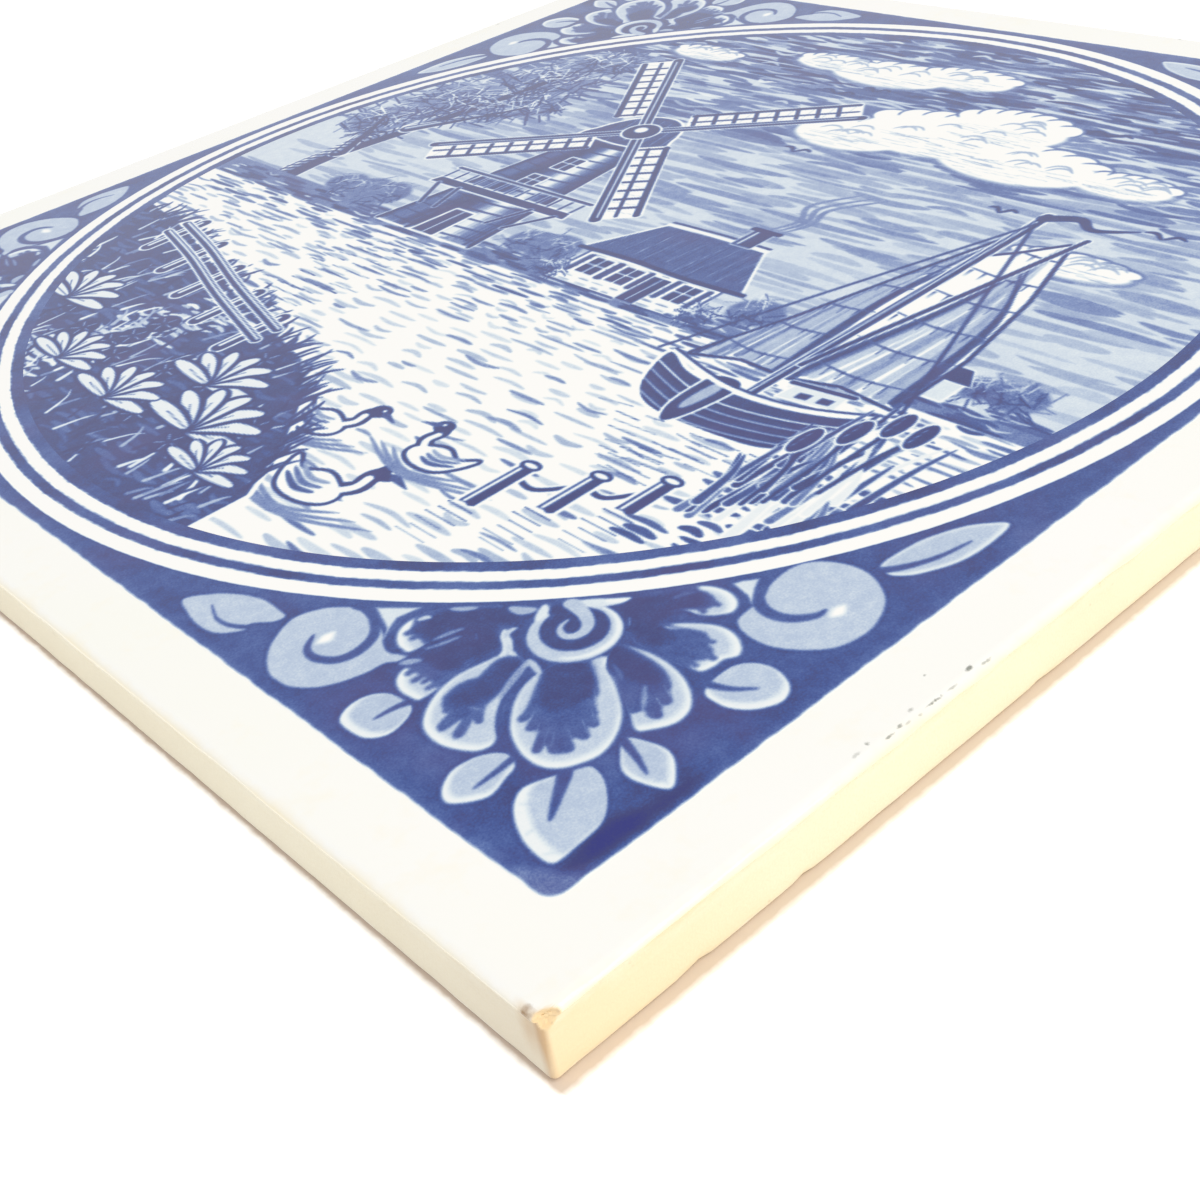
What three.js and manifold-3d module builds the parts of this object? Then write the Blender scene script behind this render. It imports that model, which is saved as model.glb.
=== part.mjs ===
// A square earthenware wall tile, dust-pressed and white-glazed, with a cobalt-blue transfer print:
// a round landscape picture inside fine ring lines, and a flower with scroll leaves in each corner.
// Millimetres, +Z up. The origin is the middle of the back, and the near corner of the picture's
// surround is at -X -Y. The layers lie on each other as they are fired: clay, glaze, then print.
import * as THREE from 'three';
import { mergeVertices } from 'three/addons/utils/BufferGeometryUtils.js';
import Module from 'manifold-3d';

const wasm = await Module();
wasm.setup();

// The clay body.
const BODY_SIDE = 151.6;
const BODY_THICKNESS = 5.2;
const CORNER_RADIUS = 0.5;
const TOP_ARRIS = 0.3;
const BACK_BEVEL = 0.45;

// The key on the back: shallow square pockets between ribs, which the bedding adhesive grips.
const KEY_COUNT = 8;
const KEY_PITCH = 17;
const KEY_RIB = 2.6;
const KEY_DEPTH = 0.8;
const KEY_DRAFT = 0.5;
const KEY_CORNER = 1.4;

// The glaze coat, which rolls over the top arris and ends in a wavy edge on the sides.
const GLAZE_COAT = 0.35;
const GLAZE_LIP = 0.2;
const GLAZE_RUN = 0.8;
const GLAZE_WAVE = 0.12;

// The chip in the near corner, where the glaze and a little of the clay have broken off.
const CHIP_RADIUS = 0.85;
const CHIP_STRETCH = [1.25, 1, 0.8];
const CHIP_TURN = 0.4;
const CHIP_INSET = 0.15;
const CHIP_DROP = 1.1;

// The print: a pale wash laid first, and the cobalt over it. It keeps a white margin all round, and the
// rings are measured inwards, one after another, from the middle of its sides.
const WASH_INK = 0.02;
const COBALT_INK = 0.02;
const PRINT_MARGIN = 5.8;
const PRINT_CORNER = 1.2;
const EDGE_STRIP = 1.35;
const OUTER_BAND = 1.65;
const RING_WIDTH = 1;
const INNER_BAND = 1.35;
const FRAME_WIDTH = 1.25;
const GAP = 0.35;

// The artwork is drawn on squared paper, with this many squares to a side of the print.
const GRID_COUNT = 140;

// The eye of the corner flower: the pale ring's outer radius and width, the dark line round it, and the
// angles between which the ring is open. Then how far the petals' hearts reach.
const EYE_RADIUS = 3.5;
const EYE_RING = 0.85;
const EYE_LINE = 0.45;
const EYE_OPEN = [0.7, 1.6];
const HEART_REACH = 0.86;

// The mill's sails: a stock each, and beside it a frame of bars for the cloth.
const SAIL_LENGTH = 26;
const SAIL_WIDTH = 4.6;
const SAIL_BAR = 1.1;
const SAIL_TURN = 0.62;

const ARC_STEPS = 4;
const SIDE_STEPS = 12;
const ROLL_STEPS = 2;
const RING_STEPS = 64;
const OVAL_STEPS = 10;

// The picture stands upright towards +X, a quarter turn clockwise from its own upright.
const UPRIGHT = -1;

const FACE = BODY_THICKNESS + GLAZE_COAT;
const WASH_TOP = FACE + WASH_INK;
const PRINT_TOP = WASH_TOP + COBALT_INK;
const PRINT_HALF = BODY_SIDE / 2 - PRINT_MARGIN;
const GROUND_RADIUS = PRINT_HALF - EDGE_STRIP;
const RING_OUTER = GROUND_RADIUS - OUTER_BAND;
const RING_INNER = RING_OUTER - RING_WIDTH;
const FRAME_OUTER = RING_INNER - INNER_BAND;
const FRAME_INNER = FRAME_OUTER - FRAME_WIDTH;
const SQUARE = 2 * PRINT_HALF / GRID_COUNT;

const clay = new THREE.MeshStandardMaterial({ color: 0xe8d9b4, roughness: 0.85, metalness: 0 });
const glaze = new THREE.MeshStandardMaterial({ color: 0xfaf9ee, roughness: 0.12, metalness: 0 });
const cobalt = new THREE.MeshStandardMaterial({ color: 0x3d55a2, roughness: 0.15, metalness: 0 });
const deep = new THREE.MeshStandardMaterial({ color: 0x2d3480, roughness: 0.15, metalness: 0 });
const middle = new THREE.MeshStandardMaterial({ color: 0x6f89c4, roughness: 0.15, metalness: 0 });
const wash = new THREE.MeshStandardMaterial({ color: 0xa7bbe2, roughness: 0.15, metalness: 0 });

const tile = new THREE.Group();

function add(name, geometry, material, quarterTurns = 0) {
  const mesh = new THREE.Mesh(geometry, material);
  mesh.name = name;
  mesh.rotation.z = quarterTurns * Math.PI / 2;
  tile.add(mesh);
}

// Solids: a closed three.js geometry into a solid for cutting and joining, and back.
function toSolid(geometry) {
  const bare = new THREE.BufferGeometry();
  bare.setAttribute('position', geometry.getAttribute('position'));
  bare.setIndex(geometry.getIndex());
  const merged = mergeVertices(bare, 1e-5);
  const vertProperties = new Float32Array(merged.getAttribute('position').array);
  const triVerts = new Uint32Array(merged.getIndex().array);
  return new wasm.Manifold(new wasm.Mesh({ numProp: 3, vertProperties, triVerts }));
}

function toGeometry(solid) {
  const mesh = solid.getMesh();
  const geometry = new THREE.BufferGeometry();
  geometry.setAttribute('position', new THREE.BufferAttribute(mesh.vertProperties, 3));
  geometry.setIndex(new THREE.BufferAttribute(mesh.triVerts, 1));
  const faceted = geometry.toNonIndexed();
  faceted.computeVertexNormals();
  return faceted;
}

function join(solids) {
  return solids.reduce((sum, solid) => sum.add(solid));
}

// Plan of the tile at one level: a square with rounded corners, anticlockwise. All levels share the
// middles of their corners' arcs.
function plan(half, sideSteps) {
  const middleOfArc = BODY_SIDE / 2 - CORNER_RADIUS;
  const radius = half - middleOfArc;
  const around = [];
  for (let corner = 0; corner < 4; corner += 1) {
    const turn = corner * Math.PI / 2;
    const centre = new THREE.Vector2(middleOfArc, middleOfArc).rotateAround(new THREE.Vector2(), turn);
    for (let step = 0; step <= ARC_STEPS; step += 1) {
      const angle = turn + (step / ARC_STEPS) * Math.PI / 2;
      around.push(new THREE.Vector2(Math.cos(angle), Math.sin(angle)).multiplyScalar(radius).add(centre));
    }
    const from = around[around.length - 1];
    const along = new THREE.Vector2(-2 * middleOfArc, 0).rotateAround(new THREE.Vector2(), turn);
    for (let step = 1; step < sideSteps; step += 1) {
      around.push(from.clone().addScaledVector(along, step / sideSteps));
    }
  }
  return around;
}

// A level of a loft: the plan, drawn in by an inset, at a height that may vary along it.
function level(half, inset, sideSteps, height) {
  return plan(half - inset, sideSteps).map((here, index, all) =>
    new THREE.Vector3(here.x, here.y, typeof height === 'number' ? height : height(index / all.length)));
}

// Skin through levels of equal counts, from the first to the last, closed by flat caps.
function loft(levels) {
  const count = levels[0].length;
  const positions = levels.flat().flatMap((here) => [here.x, here.y, here.z]);
  const index = [];
  for (let ring = 0; ring + 1 < levels.length; ring += 1) {
    for (let step = 0; step < count; step += 1) {
      const a = ring * count + step;
      const b = ring * count + (step + 1) % count;
      index.push(a, b, b + count, a, b + count, a + count);
    }
  }
  const cap = (ring) => THREE.ShapeUtils.triangulateShape(
    levels[ring].map((here) => new THREE.Vector2(here.x, here.y)), []);
  const last = levels.length - 1;
  for (const [a, b, c] of cap(0)) index.push(c, b, a);
  for (const [a, b, c] of cap(last)) index.push(last * count + a, last * count + b, last * count + c);
  const geometry = new THREE.BufferGeometry();
  geometry.setAttribute('position', new THREE.Float32BufferAttribute(positions, 3));
  geometry.setIndex(index);
  return geometry;
}

// Levels of a quarter-round edge that rises from a wall to a flat top.
function roll(half, radius, top, sideSteps) {
  const levels = [];
  for (let step = 0; step <= ROLL_STEPS; step += 1) {
    const angle = (step / ROLL_STEPS) * Math.PI / 2;
    const inset = radius * (1 - Math.cos(angle));
    levels.push(level(half, inset, sideSteps, top - radius * (1 - Math.sin(angle))));
  }
  return levels;
}

// Corner chip: a rough lump of the size of what has broken away.
function chip() {
  const lump = new THREE.IcosahedronGeometry(CHIP_RADIUS, 0);
  lump.scale(...CHIP_STRETCH);
  lump.rotateZ(CHIP_TURN);
  const place = CHIP_INSET - BODY_SIDE / 2;
  lump.translate(place, place, FACE - CHIP_DROP);
  return toSolid(lump);
}

// Square pocket of the key: a rounded square that narrows towards its floor.
function pocket(column, row) {
  const width = KEY_PITCH - KEY_RIB;
  const half = width / 2;
  const outline = new THREE.Shape();
  outline.moveTo(half - KEY_CORNER, -half);
  outline.quadraticCurveTo(half, -half, half, KEY_CORNER - half);
  outline.lineTo(half, half - KEY_CORNER);
  outline.quadraticCurveTo(half, half, half - KEY_CORNER, half);
  outline.lineTo(KEY_CORNER - half, half);
  outline.quadraticCurveTo(-half, half, -half, half - KEY_CORNER);
  outline.lineTo(-half, KEY_CORNER - half);
  outline.quadraticCurveTo(-half, -half, KEY_CORNER - half, -half);
  const cut = { depth: KEY_DEPTH, bevelEnabled: false, curveSegments: 1 };
  const block = new THREE.ExtrudeGeometry(outline, cut);
  const position = block.getAttribute('position');
  for (let i = 0; i < position.count; i += 1) {
    const narrowing = 1 - (2 * KEY_DRAFT / width) * (position.getZ(i) / KEY_DEPTH);
    position.setXY(i, position.getX(i) * narrowing, position.getY(i) * narrowing);
  }
  const first = -(KEY_COUNT - 1) * KEY_PITCH / 2;
  block.translate(first + column * KEY_PITCH, first + row * KEY_PITCH, 0);
  return block;
}

function clayBody() {
  const half = BODY_SIDE / 2;
  const levels = [
    level(half, BACK_BEVEL, 1, 0),
    level(half, 0, 1, BACK_BEVEL),
    ...roll(half, TOP_ARRIS, BODY_THICKNESS, 1),
  ];
  let body = toSolid(loft(levels));
  for (let column = 0; column < KEY_COUNT; column += 1) {
    for (let row = 0; row < KEY_COUNT; row += 1) {
      body = body.subtract(toSolid(pocket(column, row)));
    }
  }
  return toGeometry(body.subtract(chip()));
}

// Height of the glaze's lower edge, which wanders as the wet glaze ran before firing.
function glazeEdge(share) {
  const way = share * 2 * Math.PI;
  const wander = 0.4 * Math.sin(7 * way + 0.7) + 0.35 * Math.sin(13 * way + 2.1) + 0.25 * Math.sin(23 * way);
  return FACE - GLAZE_RUN + GLAZE_WAVE * wander;
}

function whiteGlaze() {
  const inner = BODY_SIDE / 2;
  const outer = inner + GLAZE_LIP;
  const levels = [
    ...roll(inner, TOP_ARRIS, BODY_THICKNESS, SIDE_STEPS).reverse(),
    level(inner, 0, SIDE_STEPS, glazeEdge),
    level(outer, 0, SIDE_STEPS, glazeEdge),
    ...roll(outer, TOP_ARRIS + GLAZE_LIP, FACE, SIDE_STEPS),
  ];
  return toGeometry(toSolid(loft(levels)).subtract(chip()));
}

// Print: outlines as lists of points, each raised by the thickness of the ink on the glazed face.
const point = (x, y) => new THREE.Vector2(x, y);

// Points of the artwork, given in squares of its squared paper.
const at = (x, y) => point(x * SQUARE, y * SQUARE);
const drawn = (pairs) => pairs.map(([x, y]) => at(x, y));

// Outline moved outwards by an amount, square to its edges.
function outset(outline, amount) {
  const outward = THREE.ShapeUtils.isClockWise(outline) ? amount : -amount;
  return outline.map((here, index) => {
    const before = outline[(index + outline.length - 1) % outline.length];
    const after = outline[(index + 1) % outline.length];
    const along = after.clone().sub(before).normalize();
    return point(here.x - along.y * outward, here.y + along.x * outward);
  });
}

function raise(outline, low, high) {
  const block = new THREE.ExtrudeGeometry(new THREE.Shape(outline), { depth: 1, bevelEnabled: false });
  const position = block.getAttribute('position');
  for (let i = 0; i < position.count; i += 1) position.setZ(i, position.getZ(i) > 0.5 ? high : low);
  return toSolid(block);
}

const washed = (outlines) => join(outlines.map((outline) => raise(outline, FACE, WASH_TOP)));
const inked = (outlines) => join(outlines.map((outline) => raise(outline, WASH_TOP, PRINT_TOP)));
const cutter = (outlines, gap = 0) =>
  join(outlines.map((outline) => raise(outset(outline, gap), FACE - 1, PRINT_TOP + 1)));

function circle(centre, radius, steps) {
  return new THREE.EllipseCurve(centre.x, centre.y, radius, radius).getPoints(steps).slice(0, -1);
}

function oval(x, y, radiusX, radiusY, turn = 0) {
  const curve = new THREE.EllipseCurve(x, y, radiusX, radiusY, 0, 2 * Math.PI, false, turn);
  return drawn(curve.getPoints(OVAL_STEPS).slice(0, -1).map((here) => [here.x, here.y]));
}

// Leaf: pointed at both ends, bowed to one side by its lean.
function leaf([x0, y0], [x1, y1], width, lean = 0) {
  const across = point(y0 - y1, x1 - x0).normalize();
  const bow = (reach) => [(x0 + x1 + across.x * reach) / 2, (y0 + y1 + across.y * reach) / 2];
  return drawn([[x0, y0], bow(width + lean), [x1, y1], bow(lean - width)]);
}

// Brush stroke: a smooth line through its points, full in the middle and drawn out at both ends.
function stroke(line, width) {
  const curve = new THREE.SplineCurve(line);
  const steps = line.length + 2;
  const sides = [[], []];
  for (let step = 0; step <= steps; step += 1) {
    const share = step / steps;
    const along = curve.getTangent(share);
    const half = (width / 2) * (0.25 + 0.75 * Math.sin(Math.PI * share));
    const here = curve.getPoint(share);
    sides[0].push(point(here.x - along.y * half, here.y + along.x * half));
    sides[1].unshift(point(here.x + along.y * half, here.y - along.x * half));
  }
  return [...sides[0], ...sides[1]];
}

function ringLine(inner, outer, low, high) {
  const profile = [[inner, low], [outer, low], [outer, high], [inner, high], [inner, low]];
  const ring = new THREE.LatheGeometry(profile.map(([x, y]) => point(x, y)), RING_STEPS);
  ring.rotateX(Math.PI / 2);
  return toGeometry(toSolid(ring));
}

// Corner ornament, in squares from the print's own corner. Beside the tail of each of the two scroll
// leaves lies a small pale slip.
const scrollLeaves = [
  drawn([[6.3, 37.1], [4, 36], [2.5, 34.6], [1.6, 33], [1.4, 31.4], [2, 29.4], [4, 27.7], [6.4, 26.9],
    [8.3, 26.2], [8.6, 30.2], [9.9, 32.2], [10.2, 33.9], [9.6, 35.3], [8.3, 36.5]]),
  drawn([[25.9, 10], [25.4, 8], [25.8, 6.2], [26.8, 4.3], [28.4, 3], [30.2, 2.4], [32.2, 2.6], [34.4, 3.9],
    [35.9, 6], [36.1, 8], [35.6, 9.8], [34.4, 11.2], [32.6, 11.7], [30.7, 11.3], [29.5, 10.6], [28.4, 10.7]]),
  drawn([[9, 29], [10, 30.4], [11.2, 32.9], [13, 30.5], [11, 30.7]]),
  drawn([[28.9, 11.7], [29.4, 13.5], [30.8, 12.6]]),
];
const farLeaves = [
  drawn([[2.4, 46.6], [1.5, 44.2], [1.3, 42.2], [1.7, 40.3], [3.2, 38.9], [4, 39.2], [5.2, 38], [6.2, 37.9],
    [6.4, 40.4], [5.8, 43], [4.5, 45]]),
  drawn([[46.8, 2.6], [46, 4], [43.4, 5.7], [40, 6.7], [37.6, 6.7], [36.7, 5.5], [38.5, 3.6], [41, 2.5],
    [44, 2.2]]),
];
const buds = [
  oval(3.6, 22.7, 2, 2.5, -0.2),
  oval(4.1, 12, 2.7, 1.9, -0.1),
  drawn([[11.3, 1.7], [10.4, 3.5], [10.5, 5], [11.3, 6.3], [12.8, 7.2], [13.6, 5.6], [13.7, 4], [13, 2.8]]),
  drawn([[19.3, 5.8], [18.9, 4.8], [19.3, 3.4], [20.3, 2.4], [21.8, 2], [23.2, 2.9], [23.9, 4.4], [23.7, 6],
    [22.6, 6.8], [21, 6.6]]),
];
const cornerLeaf = drawn([[2.3, 2.4], [2.1, 4], [2.6, 6], [3.8, 8], [5.2, 8.9], [7.2, 8], [8.5, 7.5],
  [9.3, 6.8], [9.2, 5.6], [8, 4], [6.4, 2.7], [4.2, 2.2]]);
const veins = [
  leaf([7.9, 8.1], [4.8, 5.6], 0.7, 0.2),
  stroke(drawn([[9.4, 30.4], [6.5, 29.6], [4.5, 31.6], [5.2, 33.8], [6.6, 34.2]]), 0.75 * SQUARE),
  stroke(drawn([[30.4, 12], [28.7, 10.7], [28.2, 9], [29, 7.2], [31, 6.2]]), 0.75 * SQUARE),
  stroke(drawn([[3.6, 38.9], [2.8, 41], [3.4, 43.8]]), 0.5 * SQUARE),
  stroke(drawn([[36.9, 6], [39.5, 4.4], [43.4, 3.6]]), 0.5 * SQUARE),
  leaf([6, 21.8], [3.5, 22.3], 0.6),
  leaf([7.2, 11.8], [3.6, 11.5], 0.6),
  leaf([12.3, 7.5], [11.5, 3.9], 0.6),
  leaf([20, 6.7], [21.4, 4.2], 0.6),
];

// Petals: the middle one on the diagonal, then three to one side of it and three to the other.
const petals = [
  drawn([[17.6, 17.6], [14.5, 16.9], [12, 16.2], [9.8, 15.1], [8.2, 13.7], [7.3, 12], [7.2, 10.2], [7.9, 8.6],
    [9.4, 7.8], [11.5, 7.6], [13.6, 8.6], [15.8, 11.2], [16.9, 13.8]]),
  drawn([[17, 18.6], [14.3, 19.8], [12.5, 21], [10, 21.4], [8, 21.2], [6, 20.3], [4.7, 18.7], [4.7, 16.4],
    [6, 14.2], [7.5, 14.6], [9.2, 16.8], [11.2, 17.5]]),
  drawn([[17.4, 19.6], [15.2, 21.7], [11.6, 22.3], [8.8, 21.7], [7, 21.7], [6.2, 23], [6.8, 24.6],
    [8.6, 25.4], [11.4, 25], [14.4, 23.6]]),
  drawn([[18.6, 20], [16, 23.1], [12.8, 25.1], [10.4, 26], [9, 27.2], [9.1, 28.8], [10.2, 29.9],
    [12.2, 30.1], [14.6, 28.4], [17, 25.2]]),
  drawn([[18.6, 17], [17.2, 13.6], [16, 11], [14.2, 8.4], [14.5, 6.8], [16, 6], [17.8, 6.6], [19, 7.9],
    [19.8, 9.9], [19.8, 13.4]]),
  drawn([[19.6, 17.4], [20.6, 13.2], [20.8, 10], [21.2, 8.4], [23.3, 7.7], [24.6, 8.6], [25, 10.3],
    [24.2, 12.2], [22.4, 15]]),
  drawn([[20, 18.6], [22.8, 15.8], [24.9, 13.6], [25.4, 12.4], [26.6, 11.3], [27.9, 12], [28.4, 13.5],
    [27.9, 15], [25.6, 16.8]]),
];
const eyeCentre = at(18.6, 18.6);

// Heart of a petal: its dark brushwork, which is the petal drawn in from its pale rim to the eye.
function heart(petal) {
  const drawnIn = petal.map((here) => eyeCentre.clone().lerp(here, HEART_REACH));
  return inked([drawnIn]).intersect(cutter([petal]));
}

const eye = circle(eyeCentre, EYE_RADIUS, OVAL_STEPS);

// Pale curl in the flower's eye, from the open end of its ring inwards.
const eyeCurl = stroke(
  drawn([[20.8, 20.2], [20.2, 18.8], [19.1, 18], [18, 18.2], [17.6, 19.1], [18.1, 19.9], [18.9, 19.9]]),
  0.8 * SQUARE);

// Dark disc of the eye, which reaches the line round the ring where the ring is open.
function eyeDisc() {
  const [start, end] = EYE_OPEN;
  const reach = EYE_RADIUS + EYE_LINE / 2;
  const opening = new THREE.EllipseCurve(eyeCentre.x, eyeCentre.y, reach, reach, start, end);
  const wedge = [eyeCentre, ...opening.getPoints(ARC_STEPS)];
  const disc = circle(eyeCentre, EYE_RADIUS - EYE_RING, OVAL_STEPS);
  return inked([disc, wedge]).subtract(cutter([eyeCurl]));
}

// Spandrel between the ring and the print's corner, from the print's corner.
function spandrel(raised) {
  const square = new THREE.Shape();
  square.moveTo(0, PRINT_HALF);
  square.lineTo(0, PRINT_CORNER);
  square.quadraticCurveTo(0, 0, PRINT_CORNER, 0);
  square.lineTo(PRINT_HALF, 0);
  square.lineTo(PRINT_HALF, PRINT_HALF);
  const round = circle(point(PRINT_HALF, PRINT_HALF), GROUND_RADIUS, RING_STEPS);
  return raised([square.getPoints(ARC_STEPS)]).subtract(cutter([round]));
}

// Moves corner ornament from the print's own corner to the near corner of the tile.
const toCorner = (solid) => toGeometry(solid.translate([-PRINT_HALF, -PRINT_HALF, 0]));

const cornerWash = () => toCorner(spandrel(washed));

function cornerGround() {
  const openings = [...petals, ...scrollLeaves, ...farLeaves, ...buds, cornerLeaf];
  return toCorner(spandrel(inked)
    .subtract(cutter(openings))
    .subtract(cutter([eye], EYE_LINE))
    .add(inked(veins)));
}

function cornerFlower() {
  const line = inked([outset(eye, EYE_LINE)]).subtract(cutter([eye]));
  const hearts = join(petals.map(heart)).subtract(cutter([eye]));
  return toCorner(hearts.add(line).add(eyeDisc()));
}

// Picture, upright and from the middle of the print: a mill and a cottage on a canal with a barge.
const tower = drawn([[-27.5, -11.5], [-10.5, -11.5], [-14.2, 17.5], [-23.8, 17.5]]);
const stage = drawn([[-31, -1.6], [-7, -1.6], [-7.6, 0.2], [-30.4, 0.2]]);
const cap = drawn([[-25, 16.8], [-24.8, 20.4], [-23, 23.8], [-20.6, 25.8], [-17.4, 26], [-14.9, 24.2],
  [-13.3, 20.8], [-13, 16.8]]);
const millWindows = [
  drawn([[-20.4, 7.4], [-17.6, 7.4], [-17.8, 11.6], [-20.2, 11.6]]),
  drawn([[-21, -11.6], [-17, -11.6], [-17.3, -5.4], [-20.7, -5.4]]),
];
const hub = at(-19, 21.5);

// One sail, from its hub: a stock, and beside it the frame that carries the cloth, open in its panes.
function sail(index) {
  const block = (fromX, toX, fromY, toY) => [[fromX, fromY], [toX, fromY], [toX, toY], [fromX, toY]]
    .map(([x, y]) => point(x, y).rotateAround(point(0, 0), SAIL_TURN + index * Math.PI / 2).add(hub));
  const frameStart = SAIL_LENGTH / 4;
  const pane = (SAIL_LENGTH - frameStart - SAIL_BAR) / 3;
  const panes = [0, 1, 2].map((place) => {
    const start = frameStart + SAIL_BAR + place * pane;
    return block(start, start + pane - SAIL_BAR, SAIL_BAR, SAIL_WIDTH - SAIL_BAR);
  });
  const stock = block(0, SAIL_LENGTH, -SAIL_BAR / 2, SAIL_BAR / 2);
  return inked([stock, block(frameStart, SAIL_LENGTH, 0, SAIL_WIDTH)]).subtract(cutter(panes));
}

function mill() {
  const boss = circle(hub, 2 * SAIL_BAR, OVAL_STEPS);
  const sails = [0, 1, 2, 3].map(sail);
  return join([inked([tower, stage, cap, boss]), ...sails]).subtract(cutter(millWindows));
}

const cottageWall = drawn([[2.5, -12.6], [21.5, -12.6], [21.5, -5], [2.5, -5]]);
const cottageRoof = drawn([[0.8, -5.5], [23.4, -5.5], [18.6, 3], [5.2, 3]]);
const chimney = drawn([[14.4, 2], [16.8, 2], [16.8, 6], [14.4, 6]]);
const cottageLights = [4.4, 9, 17].map((left) =>
  drawn([[left, -10.2], [left + 2.6, -10.2], [left + 2.6, -6.8], [left, -6.8]]));
const cottageDoor = drawn([[13, -12.7], [15.4, -12.7], [15.4, -6.8], [13, -6.8]]);
const cottage = () => inked([cottageWall, cottageRoof, chimney])
  .subtract(cutter([...cottageLights, cottageDoor]));

const hull = drawn([[26.5, -19], [32, -20.2], [38, -20.3], [44.4, -19.4], [50.5, -17.4], [49.4, -21.2],
  [46.8, -24.2], [42, -25.6], [33, -25.6], [28.9, -24], [27.2, -21.6]]);
const mast = drawn([[37.2, -20.5], [38.4, -20.5], [38.1, 23], [37.5, 23]]);
const mainSail = drawn([[37.9, -15.5], [43.7, -14.3], [49.8, -14.6], [49.2, -6], [47.4, 5.2], [43.6, 18.8],
  [40.4, 15], [37.9, 12.6]]);
const jib = drawn([[37.7, 17.4], [34.6, 5.6], [31.8, -4.6], [28.2, -16.8], [32.9, -15.3], [37.7, -15]]);
const sailFolds = [
  stroke(drawn([[44.6, 14], [46.4, 3], [47, -11]]), 1.6 * SQUARE),
  stroke(drawn([[40.6, 8], [41.4, 0], [41.6, -11]]), 1.3 * SQUARE),
];
const barge = () => inked([hull, mast, mainSail, jib]).subtract(cutter(sailFolds));

const treeParts = [
  stroke(drawn([[-51.5, -26], [-50, -14], [-51, -4], [-48, 8], [-46, 18]]), 3.6 * SQUARE),
  oval(-49.5, 19, 9, 6.6, 0.5),
  oval(-55, 8.6, 5.4, 5, 1),
  oval(-45, 29.6, 7.4, 5.4, 0.7),
  oval(-44.6, 37, 4.4, 4.2),
  oval(-40, 21.6, 5, 4.2),
];

// Bank in the foreground: an edge along the frame line, and a shore line drawn through a few points.
function bankOutline() {
  const start = 1.09 * Math.PI;
  const end = 1.61 * Math.PI;
  const edge = new THREE.EllipseCurve(0, 0, FRAME_INNER - GAP, FRAME_INNER - GAP, start, end);
  const waterline = drawn([[13.6, -49.4], [4.4, -42.4], [-4.6, -38.2], [-18.5, -34.5], [-34, -29.3],
    [-48.8, -22.6]]);
  return [...edge.getPoints(RING_STEPS / 4), ...waterline];
}

// Far shore: a strip along the horizon with round trees on it.
const shoreTrees = [oval(-36, -9.4, 4.4, 3.2), oval(-4.5, -9.4, 5.4, 3.2)];
const shoreStrip = drawn([[-46, -14], [27, -14], [27.4, -11.4], [-46, -10.8]]);

const shore = () => inked([shoreStrip, ...shoreTrees])
  .subtract(cutter([tower, cottageWall, cottageRoof], GAP));
const tree = () => inked(treeParts).subtract(cutter([bankOutline(), stage], GAP));
const bank = () => inked([bankOutline()]);

// Mooring posts in the near water, with a rope from one to the next, and reeds beside them.
const posts = [[31, -45.5, 7], [37.2, -42.4, 6.2], [42.6, -38.8, 5.4]];
const post = ([x, y, tall]) => drawn([[x - 0.9, y], [x + 0.9, y], [x + 0.8, y + tall], [x - 0.8, y + tall]]);
const ropes = [
  stroke(drawn([[31, -40.1], [34.1, -41.9], [37.2, -37.8]]), 0.6 * SQUARE),
  stroke(drawn([[37.2, -37.8], [39.9, -38.9], [42.6, -35]]), 0.6 * SQUARE),
];
const mooring = () => inked([...posts.map(post), ...ropes]);
const reeds = () => inked([
  oval(51.2, -30.4, 3.8, 1, 0.9),
  stroke(drawn([[49.4, -32.6], [48.4, -27], [46.6, -23.8]]), 0.8 * SQUARE),
  stroke(drawn([[50.6, -31.4], [50.4, -25], [49.4, -19.6]]), 0.8 * SQUARE),
  stroke(drawn([[51.8, -29.6], [52.2, -23], [51.6, -17]]), 0.8 * SQUARE),
  stroke(drawn([[52.8, -28.4], [54.4, -23], [54.8, -18]]), 0.8 * SQUARE),
]);

// Wash of the whole picture, open where the white glaze shows as clouds and as light on the water.
const clouds = [
  oval(14, 36, 11, 6), oval(27, 33, 10, 5), oval(5, 32, 8, 4.4), oval(20, 41, 8, 5), oval(40, 33, 6, 3),
  oval(-4, 50, 9, 4), oval(6, 52.5, 7, 3.4), oval(-14, 51, 6, 2.8), oval(46, 15, 7, 2.6),
];
const glints = [
  leaf([-5, -29], [27, -29], 3.2), leaf([38, -31], [52, -31], 2.4), leaf([4, -34.4], [24, -34.4], 3),
  leaf([32, -36], [46, -36], 2.6), leaf([12, -39.6], [36, -39.6], 3.2), leaf([22, -45], [40, -45], 2.8),
  leaf([21, -50.4], [33, -50.4], 2.4),
];

function pictureWash() {
  const round = circle(point(0, 0), FRAME_OUTER, RING_STEPS);
  return washed([round]).subtract(cutter([...glints, ...clouds]));
}

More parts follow.
